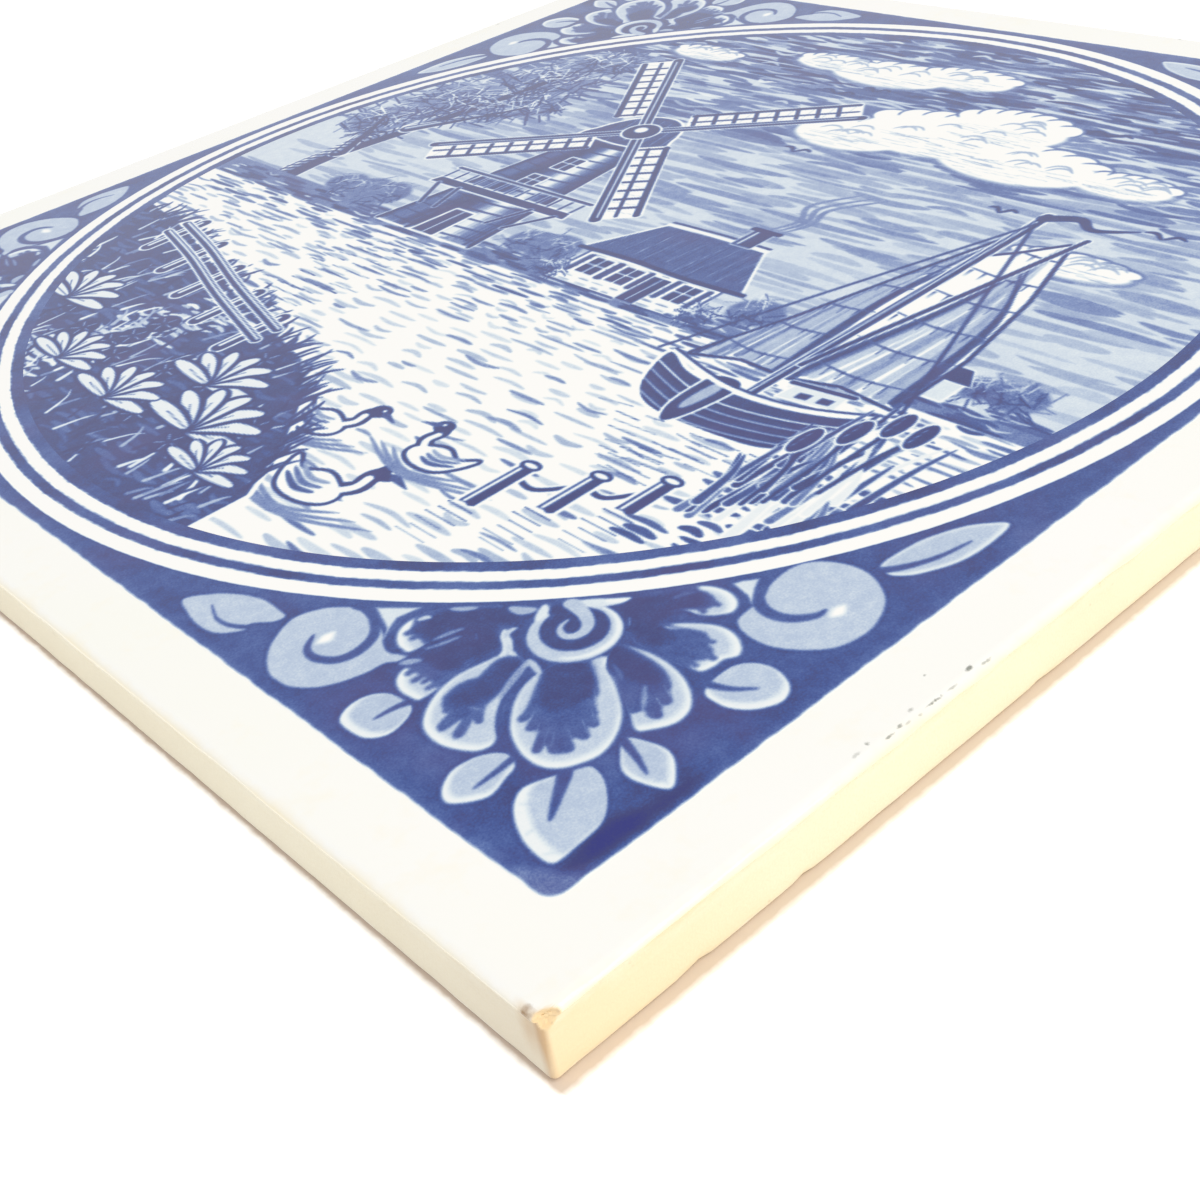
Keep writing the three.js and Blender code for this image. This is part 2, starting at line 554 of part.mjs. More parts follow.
add('clay_body', clayBody(), clay);
add('white_glaze', whiteGlaze(), glaze);
add('picture_wash', toGeometry(pictureWash()), wash, UPRIGHT);
add('picture_frame_line', ringLine(FRAME_INNER, FRAME_OUTER, WASH_TOP, PRINT_TOP), cobalt);
add('ring_line', ringLine(RING_INNER, RING_OUTER, FACE, WASH_TOP), cobalt);
for (let corner = 0; corner < 4; corner += 1) {
  add(`corner_wash_${corner + 1}`, cornerWash(), wash, corner);
  add(`corner_ground_${corner + 1}`, cornerGround(), cobalt, corner);
  add(`corner_flower_${corner + 1}`, cornerFlower(), deep, corner);
}
add('picture_mill', toGeometry(mill()), deep, UPRIGHT);
add('picture_cottage', toGeometry(cottage()), cobalt, UPRIGHT);
add('picture_barge', toGeometry(barge()), cobalt, UPRIGHT);
add('picture_tree', toGeometry(tree()), cobalt, UPRIGHT);
add('picture_bank', toGeometry(bank()), cobalt, UPRIGHT);
add('picture_shore', toGeometry(shore()), middle, UPRIGHT);
add('picture_mooring', toGeometry(mooring()), deep, UPRIGHT);
add('picture_reeds', toGeometry(reeds()), cobalt, UPRIGHT);

export default tile;
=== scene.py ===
import math

import bpy
import numpy as np
from mathutils import Matrix, Vector


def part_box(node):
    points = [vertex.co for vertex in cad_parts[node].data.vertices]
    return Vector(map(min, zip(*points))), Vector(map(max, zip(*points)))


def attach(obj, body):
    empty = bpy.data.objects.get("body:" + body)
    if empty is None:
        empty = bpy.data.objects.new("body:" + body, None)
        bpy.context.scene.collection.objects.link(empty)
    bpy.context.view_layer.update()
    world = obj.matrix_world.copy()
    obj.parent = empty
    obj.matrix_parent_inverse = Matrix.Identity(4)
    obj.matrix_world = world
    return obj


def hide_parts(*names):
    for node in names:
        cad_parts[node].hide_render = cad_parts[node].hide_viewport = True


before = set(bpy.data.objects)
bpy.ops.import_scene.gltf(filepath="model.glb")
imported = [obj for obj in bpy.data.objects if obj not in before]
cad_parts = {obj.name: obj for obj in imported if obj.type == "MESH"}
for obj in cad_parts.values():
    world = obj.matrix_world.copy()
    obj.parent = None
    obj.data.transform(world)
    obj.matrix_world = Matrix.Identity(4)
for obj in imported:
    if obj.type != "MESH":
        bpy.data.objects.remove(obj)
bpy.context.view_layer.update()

# Clay body: a slab of cream earthenware, pressed from damp dust in a steel die and fired once.
# Its four sides stay bare, its back is keyed with shallow square pockets for the adhesive, and
# the near corner has lost a flake.
MM = 0.001


def node_reach(node):
    """How far a solid of the frame reaches from the tile's middle, and how high, in millimetres."""
    low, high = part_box(node)
    return round(max(-low.x, high.x) / MM, 3), round(high.z / MM, 3)


BODY_HALF, BODY_TOP = node_reach("clay_body")
CORNER_RADIUS = 0.5
TOP_ARRIS = 0.3
BACK_BEVEL = 0.45
BEVEL_HEIGHTS = [0, 0.1, 0.22, 0.34]
ARC_STEPS = 8
ARRIS_STEPS = 5
LEVEL_STEP = 0.14
FOOT_WEAR = 0.05
SIDE_WEAR = 0.02
CHIP_CENTRE = np.array([-75.4, -75.9, 5.3])
CHIP_AXES = np.array([0.85, 0.55, 0.85])
CHIP_TURN = -0.35
CHIP_INWARD = np.array([0.5, 0.78, -0.38])
CHIP_ROUGHNESS = 0.07

# Nicks in the right side's foot: where along it, how wide and how deep.
NICKS = [(-64.6, 0.8, 0.28), (-55.2, 0.5, 0.2), (-31.0, 0.6, 0.15), (-8.4, 0.7, 0.2), (22.0, 0.9, 0.24)]


def side_shares(length):
    """Places along a straight side, close together near its ends where the corners are worn."""
    near = np.arange(0.15, 6, 0.15)
    middle = np.arange(6, length - 6, 1.0)
    return np.concatenate([near, middle, length - near[::-1]]) / length


def tile_outline(half, radius):
    """Square with rounded corners, anticlockwise, as places in a plane."""
    centre = half - radius
    shares = side_shares(2 * (BODY_HALF - CORNER_RADIUS))
    quarter = []
    for step in range(ARC_STEPS + 1):
        angle = step / ARC_STEPS * math.pi / 2
        quarter.append((centre + radius * math.cos(angle), centre + radius * math.sin(angle)))
    quarter += [(centre - 2 * centre * share, half) for share in shares]
    turns = []
    for corner in range(4):
        turn = corner * math.pi / 2
        spin = np.array([[math.cos(turn), math.sin(turn)], [-math.sin(turn), math.cos(turn)]])
        turns.append(np.array(quarter) @ spin)
    return np.concatenate(turns)


def level(outset, heights):
    """The tile's outline, grown or drawn in, at one height or at a height for each place."""
    ring = tile_outline(BODY_HALF + outset, CORNER_RADIUS + outset)
    return np.column_stack([ring, np.broadcast_to(heights, len(ring))])


def arris(angle):
    """The rounded upper arris, which meets the side at no angle and the top at a right angle."""
    return level(-TOP_ARRIS * (1 - math.cos(angle)), BODY_TOP - TOP_ARRIS * (1 - math.sin(angle)))


def round_the_tile(outline):
    """Share of the way round the tile at each place of an outline."""
    ahead = np.roll(outline, -1, axis=0) - outline
    length = np.hypot(ahead[:, 0], ahead[:, 1])
    return (np.cumsum(length) - length) / length.sum()


def wander(share, coarsest, finest, seed):
    """Smooth unevenness round the tile, between -1 and 1, which meets itself again."""
    draw = np.random.default_rng(seed)
    total = np.zeros_like(share)
    weight = 0
    for waves in range(coarsest, finest):
        strength = waves ** -0.5 * draw.uniform(0.2, 1)
        total += strength * np.sin(2 * math.pi * (waves * share + draw.uniform()))
        weight += strength ** 2
    return total / (2.2 * math.sqrt(weight))


def in_chip(places):
    """Places measured in the chip's own axes, so that the chip is a ball of radius one."""
    turn = np.array([[math.cos(CHIP_TURN), -math.sin(CHIP_TURN), 0],
                     [math.sin(CHIP_TURN), math.cos(CHIP_TURN), 0], [0, 0, 1]])
    return (places - CHIP_CENTRE) @ turn / CHIP_AXES, turn


def chipped(places):
    """Moves what lies in the chip inwards, on to the broken face that the flake left."""
    inside, turn = in_chip(places)
    step = (CHIP_INWARD @ turn) / CHIP_AXES
    a = step @ step
    b = inside @ step
    c = (inside ** 2).sum(axis=1) - 1
    far = (-b + np.sqrt(np.maximum(b * b - a * c, 0))) / a
    ripple = np.sin(places @ np.array([9, -7, 11])) * np.sin(places @ np.array([-5, 8, 6]))
    move = np.where(c < 0, np.maximum(far + CHIP_ROUGHNESS * ripple, 0), 0)
    return places + move[:, None] * CHIP_INWARD


def band(low, high, count):
    """Faces between two rings of as many places, told by the number of each ring's first place."""
    here = np.arange(count)
    ahead = (here + 1) % count
    return np.stack([low + here, low + ahead, high + ahead, high + here], axis=1).tolist()


def skin(levels):
    """Faces through rings of equal counts, from the first to the last, closed by two flat caps."""
    count = levels.shape[1]
    last = (len(levels) - 1) * count
    faces = []
    for start in range(0, last, count):
        faces += band(start, start + count, count)
    faces += [list(range(count))[::-1], list(range(last, last + count))]
    return levels.reshape(-1, 3), faces


def piece(name, places, faces):
    """A mesh object at the origin, from places in millimetres."""
    mesh = bpy.data.meshes.new(name)
    mesh.from_pydata((np.asarray(places) * MM).tolist(), [], faces)
    mesh.update()
    made = bpy.data.objects.new(name, mesh)
    bpy.context.scene.collection.objects.link(made)
    return made


def write_on(made, name, values):
    """Writes a number on each place of a piece's mesh."""
    written = made.data.attributes.new(name, "FLOAT", "POINT")
    written.data.foreach_set("value", np.asarray(values, np.float32))


def shade(made, sharpest):
    """Shades a piece as smooth, but for edges that turn by more than an angle, in degrees."""
    made.data.shade_smooth()
    made.data.set_sharp_from_angle(angle=math.radians(sharpest))


def mark_broken(made):
    """Writes on a piece where its surface is the broken face of the chip."""
    places = np.zeros(len(made.data.vertices) * 3, np.float32)
    made.data.vertices.foreach_get("co", places)
    inside, _ = in_chip(places.reshape(-1, 3) / MM)
    write_on(made, "broken", np.clip((1.2 - np.sqrt((inside ** 2).sum(axis=1))) / 0.12, 0, 1))


class Value:
    """What a node gives at every place. Arithmetic on it adds the nodes for it."""

    def __init__(self, nodes, socket):
        self.nodes = nodes
        self.socket = socket

    def _sum(self, operation, first, second):
        return self.nodes.node("ShaderNodeMath", {"operation": operation}, {0: first, 1: second})

    def __add__(self, other):
        return self._sum("ADD", self, other)

    def __radd__(self, other):
        return self._sum("ADD", other, self)

    def __sub__(self, other):
        return self._sum("SUBTRACT", self, other)

    def __rsub__(self, other):
        return self._sum("SUBTRACT", other, self)

    def __mul__(self, other):
        return self._sum("MULTIPLY", self, other)

    def __rmul__(self, other):
        return self._sum("MULTIPLY", other, self)

    def between(self, low, high):
        """This value as a share of the way from low to high, no less than none and no more than all."""
        return self.nodes.node(
            "ShaderNodeMapRange", {"clamp": True}, {"Value": self, "From Min": low, "From Max": high})


class Nodes:
    """A tree of nodes."""

    def __init__(self, tree):
        self.tree = tree

    def node(self, kind, settings=None, sockets=None, output=0):
        """A node of a kind, with its settings made first and then its sockets filled or linked."""
        made = self.tree.nodes.new(kind)
        for name, value in (settings or {}).items():
            if name == "stops":
                ramp = made.color_ramp
                while len(ramp.elements) < len(value):
                    ramp.elements.new(0.5)
                for element, (place, colour) in zip(ramp.elements, value):
                    element.position = place
                    element.color = colour
            else:
                setattr(made, name, value)
        for name, value in (sockets or {}).items():
            given_by = value.socket if isinstance(value, Value) else value
            if isinstance(given_by, bpy.types.NodeSocket):
                self.tree.links.new(given_by, made.inputs[name])
            else:
                made.inputs[name].default_value = value
        return Value(self, made.outputs[output]) if len(made.outputs) else None


biscuit_outline = tile_outline(BODY_HALF, CORNER_RADIUS)
way_round = round_the_tile(biscuit_outline)
body_levels = []
for height in np.concatenate([BEVEL_HEIGHTS, np.arange(BACK_BEVEL, BODY_TOP - TOP_ARRIS, LEVEL_STEP)]):
    bevel = BACK_BEVEL * (1 - math.sqrt(max(0, 1 - (1 - min(height / BACK_BEVEL, 1)) ** 2)))
    ring = level(-bevel, height)
    outward = level(1 - bevel, height) - ring
    worn = FOOT_WEAR * (wander(way_round, 20, 160, 3) - 1) * math.exp(-height / 0.5)
    worn += SIDE_WEAR * (wander(way_round, 40, 260, round(40 * height)) - 1)
    for place, width, depth in NICKS:
        beside = np.where(ring[:, 1] < 1 - BODY_HALF, ring[:, 0] - place, BODY_HALF)
        worn -= depth * np.exp(-(beside / width) ** 2) * math.exp(-(height / 0.55) ** 2)
    body_levels.append(ring + outward * worn[:, None])
body_levels += [arris(step / ARRIS_STEPS * math.pi / 2) for step in range(1, ARRIS_STEPS + 1)]
places, faces = skin(np.array(body_levels))
clay_biscuit = piece("clay_biscuit", chipped(places), faces)

# Key: the pockets of the back, pressed by the die's lower punch between ribs that stand flush.
key = Nodes(bpy.data.node_groups.new("key_of_pockets", "GeometryNodeTree"))
key_face = key.tree.interface
key_face.new_socket("Body", in_out="INPUT", socket_type="NodeSocketGeometry")
key_sizes = {
    "Pitch": ("NodeSocketFloat", 17 * MM), "Pocket": ("NodeSocketFloat", 14.4 * MM),
    "Depth": ("NodeSocketFloat", 0.8 * MM), "Corner": ("NodeSocketFloat", 1.4 * MM),
    "Narrowing": ("NodeSocketFloat", 0.93), "Count": ("NodeSocketInt", 8),
    "Finish": ("NodeSocketMaterial", None),
}
key_sockets = {name: key_face.new_socket(name, in_out="INPUT", socket_type=kind)
               for name, (kind, _) in key_sizes.items()}
key_face.new_socket("Body", in_out="OUTPUT", socket_type="NodeSocketGeometry")
given = key.tree.nodes.new("NodeGroupInput").outputs
square = key.node("GeometryNodeCurvePrimitiveQuadrilateral", None,
                  {"Width": given["Pocket"], "Height": given["Pocket"]})
eased = key.node("GeometryNodeFilletCurve", {"mode": "POLY"},
                 {"Curve": square, "Count": 4, "Radius": given["Corner"]})
mouth = key.node("GeometryNodeFillCurve", {"mode": "NGONS"}, {"Curve": eased})
raised = key.node("GeometryNodeExtrudeMesh", {"mode": "FACES"},
                  {"Mesh": mouth, "Offset Scale": given["Depth"]})
raised_face = raised.socket.node.outputs["Top"]
drawn_in = key.node("GeometryNodeScaleElements", {"domain": "FACE"},
                    {"Geometry": raised, "Selection": raised_face, "Scale": given["Narrowing"]})
under = key.node("GeometryNodeFlipFaces", None, {"Mesh": mouth})
lump = key.node("GeometryNodeJoinGeometry", None, {0: drawn_in})
key.tree.links.new(under.socket, lump.socket.node.inputs[0])
sealed = key.node("GeometryNodeMergeByDistance", None, {"Geometry": lump, "Distance": 0.001 * MM})
width = (Value(key, given["Count"]) - 1.0) * given["Pitch"]
grid = key.node("GeometryNodeMeshGrid", None, {
    "Size X": width, "Size Y": width, "Vertices X": given["Count"], "Vertices Y": given["Count"]})
pockets = key.node("GeometryNodeInstanceOnPoints", None, {"Points": grid, "Instance": sealed})
lowered = key.node("GeometryNodeTranslateInstances", None,
                   {"Instances": pockets, "Translation": (0, 0, -0.02 * MM)})
loose = key.node("GeometryNodeRealizeInstances", None, {"Geometry": lowered})
cut = key.node("GeometryNodeMeshBoolean", {"operation": "DIFFERENCE", "solver": "EXACT"},
               {"Mesh 1": given["Body"], "Mesh 2": loose})
whole = key.node("GeometryNodeRealizeInstances", None, {"Geometry": cut})
finished = key.node("GeometryNodeSetMaterial", None, {"Geometry": whole, "Material": given["Finish"]})
key.node("NodeGroupOutput", None, {0: finished})


# Fired clay: matt and cream, with the grain of pressed dust and pores, and paler haze where the glaze
# was wiped off. The foot is painted paler, as painted light on its shaded bevel, and near the corner the
# walls carry painted light and shade: a warm lit tint on the -Y wall, a grey shaded tint on the -X wall.
def linear(red, green, blue):
    """A colour seen on screen, of 255 parts, as the light that it stands for."""
    parts = [part / 255 for part in (red, green, blue)]
    return tuple(p / 12.92 if p <= 0.04045 else ((p + 0.055) / 1.055) ** 2.4 for p in parts) + (1.0,)


class Finish(Nodes):
    """A material made of nodes, with one shader for its surface."""

    def __init__(self, name, **constants):
        self.material = bpy.data.materials.new(name)
        self.material.use_nodes = True
        super().__init__(self.material.node_tree)
        self.surface = self.tree.nodes["Principled BSDF"]
        self.places = self.node("ShaderNodeTexCoord", output="Object")
        for socket, value in constants.items():
            self.surface.inputs[socket.replace("_", " ")].default_value = value

    def noise(self, scale, detail=2.0, roughness=0.5, stretch=None):
        """Cloudy unevenness, with so many lumps to a metre, which may be stretched along an axis."""
        places = self.places
        if stretch:
            places = self.node("ShaderNodeMapping", None, {"Vector": places, "Scale": stretch})
        return self.node("ShaderNodeTexNoise", None, {
            "Vector": places, "Scale": scale, "Detail": detail, "Roughness": roughness})

    def mix(self, share, first, second):
        """A colour between two colours."""
        return self.node("ShaderNodeMix", {"data_type": "RGBA"}, {0: share, 6: first, 7: second}, output=2)

    def written(self, name):
        """A number that a piece's mesh carries."""
        return self.node("ShaderNodeAttribute", {"attribute_name": name}, output="Fac")

    def bump(self, height, distance, strength=1.0):
        """Fine relief, in metres from the lowest to the highest."""
        return self.node("ShaderNodeBump", None,
                         {"Height": height, "Distance": distance, "Strength": strength})

    def axes(self):
        """The place on the piece, as its three numbers."""
        return [self.node("ShaderNodeSeparateXYZ", None, {0: self.places}, output=axis) for axis in "XYZ"]

    def size(self, value):
        """A number without its sign."""
        return self.node("ShaderNodeMath", {"operation": "ABSOLUTE"}, {0: value})

    def away(self, place, spread):
        """How far each place is from a spot, where the spot's spread along each axis counts as one."""
        centred = self.node("ShaderNodeMapping", {"vector_type": "TEXTURE"}, {
            "Vector": self.places, "Location": [part * MM for part in place],
            "Scale": [part * MM for part in spread]})
        return self.node("ShaderNodeVectorMath", {"operation": "LENGTH"}, {0: centred}, output="Value")

    def use(self, **values):
        """Gives the surface what changes over it."""
        for socket, value in values.items():
            self.tree.links.new(value.socket, self.surface.inputs[socket.replace("_", " ")])


CLAY = linear(249, 242, 218)
DULL_CLAY = linear(246, 237, 211)
# Painted light and shade near the corner: warm where the -Y wall is lit, grey where the -X wall is shaded.
CORNER_WARM_LIT_CLAY = linear(248, 224, 186)
CORNER_GREY_SHADED_CLAY = linear(230, 219, 198)
CLAY_DUST = linear(232, 218, 182)
WIPED_HAZE = linear(250, 247, 230)
# Painted light on the foot, which lifts the shade on its bevel.
FOOT_PAINTED_LIGHT = linear(255, 251, 240)
PIT = linear(176, 152, 110)
TAN_STAIN = linear(206, 172, 132)
KILN_SPOT = linear(152, 114, 70)
KILN_PLACE = (-75.9, -74.66, 5.2)
KILN_SPREAD = (1, 0.56, 0.42)


def broken_colour(finish):
    """The flake's scar: cream, and tan where it is rubbed."""
    _, y, z = finish.axes()
    worn = finish.noise(1500, 3).between(0.4, 0.62)
    scar = finish.mix(worn, linear(251, 238, 204), linear(244, 222, 182))
    return finish.mix(1 - (y + z).between(-0.06965, -0.0692), scar, linear(238, 212, 170))


def rubbed(finish):
    """How strong the tan stain is that lies left of the flake and runs down the upright arris."""
    x, y, z = finish.axes()
    ragged_y = y + (finish.noise(900) - 0.5) * 0.0008
    stain = (1 - ragged_y.between(-0.0743, -0.0733)) * z.between(0.0012, 0.0036) * 0.55
    by_arris = 1 - finish.size(x - y + 0.0002).between(0, 0.0007)
    upright = by_arris * (1 - (x + y).between(-0.1509, -0.1502)) * 0.7
    return (stain * (1 - x.between(-0.0757, -0.0754)) + upright).between(0, 1)


def scorched(finish, colour):
    """A colour with the brown spot that the kiln left where the glaze stops, left of the flake."""
    ragged_edge = (finish.noise(2600, 3) - 0.5) * 1.2
    spot = 1 - (finish.away(KILN_PLACE, KILN_SPREAD) + ragged_edge).between(0.3, 1.1)
    return finish.mix(spot * 0.85, colour, KILN_SPOT)


clay = Finish("fired_clay", Roughness=0.85, IOR=1.45)
dust = clay.noise(5200, 3, 0.6)
cloud = clay.noise(70, 3)
smear = clay.noise(260, 4, 0.6, (1, 1, 3.5))
pores = clay.node("ShaderNodeTexVoronoi", {"feature": "F1"}, {"Vector": clay.places, "Scale": 900.0})
x, y, height = clay.axes()
# Painted light and shade near the corner: a warm lit tint on the -Y wall, a grey shaded tint on the -X
# wall.
painted_light_near_corner = 1 - (x + y + (cloud - 0.5) * 0.008).between(-0.151, -0.134)
corner_lit_and_shaded = clay.mix(y.between(-0.0757, -0.0754), CORNER_WARM_LIT_CLAY, CORNER_GREY_SHADED_CLAY)
haze = height.between(0.0034, 0.0048) * smear.between(0.42, 0.6)
# The foot is painted paler, as painted light that offsets the shade on its bevel.
foot = 1 - (height + (smear - 0.5) * 0.0006).between(0.0001, 0.0005)
pits = (1 - pores.between(0.1, 0.2)) * clay.noise(330).between(0.62, 0.72)
body_colour = clay.mix(cloud.between(0.35, 0.68), DULL_CLAY, CLAY)
for share, colour in (
    (painted_light_near_corner * 0.85, corner_lit_and_shaded), (dust.between(0.35, 0.75) * 0.3, CLAY_DUST), (haze * 0.5, WIPED_HAZE),
    (foot * 0.9, FOOT_PAINTED_LIGHT), (pits * 0.5, PIT), (rubbed(clay) * 0.9, TAN_STAIN),
    (clay.written("broken"), broken_colour(clay)),
):
    body_colour = clay.mix(share, body_colour, colour)
body_colour = scorched(clay, body_colour)
clay.use(Base_Color=body_colour, Normal=clay.bump(dust + smear * 0.6 - pits * 2, 0.00004, 0.8))

modifier = clay_biscuit.modifiers.new("key", "NODES")
modifier.node_group = key.tree
for name, (kind, value) in key_sizes.items():
    modifier[key_sockets[name].identifier] = clay.material if name == "Finish" else value
seen = clay_biscuit.evaluated_get(bpy.context.evaluated_depsgraph_get())
keyed = bpy.data.meshes.new_from_object(seen)
clay_biscuit.modifiers.clear()
clay_biscuit.data = keyed
shade(clay_biscuit, 28)
mark_broken(clay_biscuit)
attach(clay_biscuit, "root")
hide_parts("clay_body")

# White glaze: a glassy tin-white coat poured over the face. It rounds the top arris, runs a little
# way down the sides and stops in a wavy bead, thinner just above it. It has crept back at the near
# corner.
GLAZE_OUT, FACE = node_reach("white_glaze")
LIP_HEIGHT = 4.84
LIP_WAVE = 0.16
LIP_SWAY = 0.06
LIP_CREPT = 0.26
LIP_PROFILE = [(0.0, 0.04), (0.05, 0.01), (0.12, 0.0), (0.175, 0.04), (0.2, 0.1), (0.2, 0.18)]
ROLL = 0.9
ROLL_STEPS = 14
SOFT_CORNER = 1.7

from_corner = np.hypot(biscuit_outline[:, 0] + BODY_HALF, biscuit_outline[:, 1] + BODY_HALF)
lip = LIP_HEIGHT + LIP_WAVE * wander(way_round, 25, 160, 22) + LIP_SWAY * wander(way_round, 3, 16, 21)
lip += LIP_CREPT * np.exp(-from_corner / 7)
coat_levels = [arris(math.radians(angle)) for angle in (90, 60, 30, 0)]
coat_levels[-1][:, 2] = np.maximum(lip + 0.1, BODY_TOP - TOP_ARRIS)
coat_levels += [level(outset, lip + rise) for outset, rise in LIP_PROFILE]
rim = coat_levels[-1]
flat = tile_outline(GLAZE_OUT - ROLL, SOFT_CORNER)
for step in range(1, ROLL_STEPS + 1):
    angle = step / ROLL_STEPS * math.pi / 2
    ring = rim[:, :2] + (flat - rim[:, :2]) * (1 - math.cos(angle))
    coat_levels.append(np.column_stack([ring, rim[:, 2] + (FACE - rim[:, 2]) * math.sin(angle)]))
places, faces = skin(np.array(coat_levels))
glaze_coat = piece("glaze_coat", chipped(places), faces)
shade(glaze_coat, 40)
mark_broken(glaze_coat)

# Specks that settled in the glaze: where they lie, how long and wide they are, and how dark.
SPECKS = [
    (-38.3, -75.23, 0.42, 0.2, 1.0), (-36.98, -75.59, 0.5, 0.12, 0.6), (-40.66, -73.46, 0.14, 0.12, 0.6),
    (-40.44, -75.57, 0.5, 0.1, 0.5), (-42.13, -75.53, 0.6, 0.12, 1.0), (-42.98, -75.51, 0.3, 0.08, 0.4),
    (-43.89, -74.95, 0.28, 0.18, 0.6), (-43.86, -75.66, 0.16, 0.1, 0.4), (-44.91, -75.55, 0.3, 0.1, 0.4),
    (-45.56, -75.39, 0.34, 0.16, 0.8), (-46.73, -75.51, 0.5, 0.1, 0.8), (-48.08, -74.91, 0.2, 0.16, 0.8),
    (-49.22, -75.08, 0.45, 0.15, 0.4), (21.4, -73.0, 0.2, 0.16, 0.6), (-73.2, 12.5, 0.16, 0.2, 0.5),
    (44.0, 74.6, 0.4, 0.14, 0.7), (75.1, -20.5, 0.12, 0.4, 0.6),
]
WHITE = linear(251, 250, 247)
COOL_WHITE = linear(249, 249, 241)
THIN_GLAZE = linear(252, 241, 208)
SPECK = linear(104, 108, 96)
RUBBED_GLAZE = linear(226, 200, 160)

glaze = Finish("white_glaze", Roughness=0.1, IOR=1.5)
drift = glaze.noise(28, 3)
fine = glaze.noise(900, 2)
ragged = glaze.noise(2600, 3, 0.6)
height = glaze.axes()[2]
white = glaze.mix(drift.between(0.35, 0.7), WHITE, COOL_WHITE)
uneven_height = height + (fine - 0.5) * 0.0002 + (glaze.noise(170) - 0.5) * 0.0004
thin = 1 - uneven_height.between(0.00508, 0.00552)
white = glaze.mix(thin * 0.9, white, THIN_GLAZE)
for x, y, long, wide, strength in SPECKS:
    speck = 1 - (glaze.away((x, y, FACE), (long, wide, 1)) + (ragged - 0.5) * 2.4).between(0.3, 1.1)
    white = glaze.mix(speck * (0.8 * strength), white, SPECK)
white = glaze.mix(rubbed(glaze) * 0.7, white, RUBBED_GLAZE)
white = scorched(glaze, glaze.mix(glaze.written("broken"), white, broken_colour(glaze)))
rough = glaze.written("broken") * 0.6 + drift * 0.04 + 0.07
relief = glaze.noise(340, 2) + fine * 0.15
glaze.use(Base_Color=white, Roughness=rough, Normal=glaze.bump(relief, 0.00001, 0.5))
glaze_coat.data.materials.append(glaze.material)
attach(glaze_coat, "root")
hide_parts("white_glaze")

# Corner ornament: cobalt laid by transfer on the glazed face and fired on. A pale wash is left open
# in a deep ground as leaves, scrolls and buds round half a flower, whose petals are brushed dark
# from the eye outwards, and each is edged in near white.
PRINT_HALF = node_reach("corner_wash_1")[0]
EDGE_STRIP = 1.35
GROUND_RADIUS = round(PRINT_HALF - EDGE_STRIP, 3)
PRINT_CORNER = 1.5
PRINT_TOP = FACE + 0.03
CORNER_STEP = 0.13
CORNER_REACH = 70.0
RIM_TONE = 0.09
WASH_TONE = 0.23
GROUND_TONE = 0.8
DEEP_TONE = 0.92


def smooth_line(points, closed=False, steps=6):
    """A rounded line through a few points, as many places."""
    p = np.asarray(points, float)
    if closed:
        before, ahead, beyond = np.roll(p, 1, 0), np.roll(p, -1, 0), np.roll(p, -2, 0)
    else:
        before = np.vstack([p[:1], p[:-2]])
        ahead, beyond = p[1:], np.vstack([p[2:], p[-1:]])
        p = p[:-1]
    t = (np.arange(steps) / steps)[None, :, None]
    p, before, ahead, beyond = (q[:, None, :] for q in (p, before, ahead, beyond))
    line = 0.5 * (2 * p + (ahead - before) * t + (2 * before - 5 * p + 4 * ahead - beyond) * t ** 2
                  + (3 * p - before - 3 * ahead + beyond) * t ** 3)
    line = line.reshape(-1, 2)
    return line if closed else np.vstack([line, ahead[-1]])


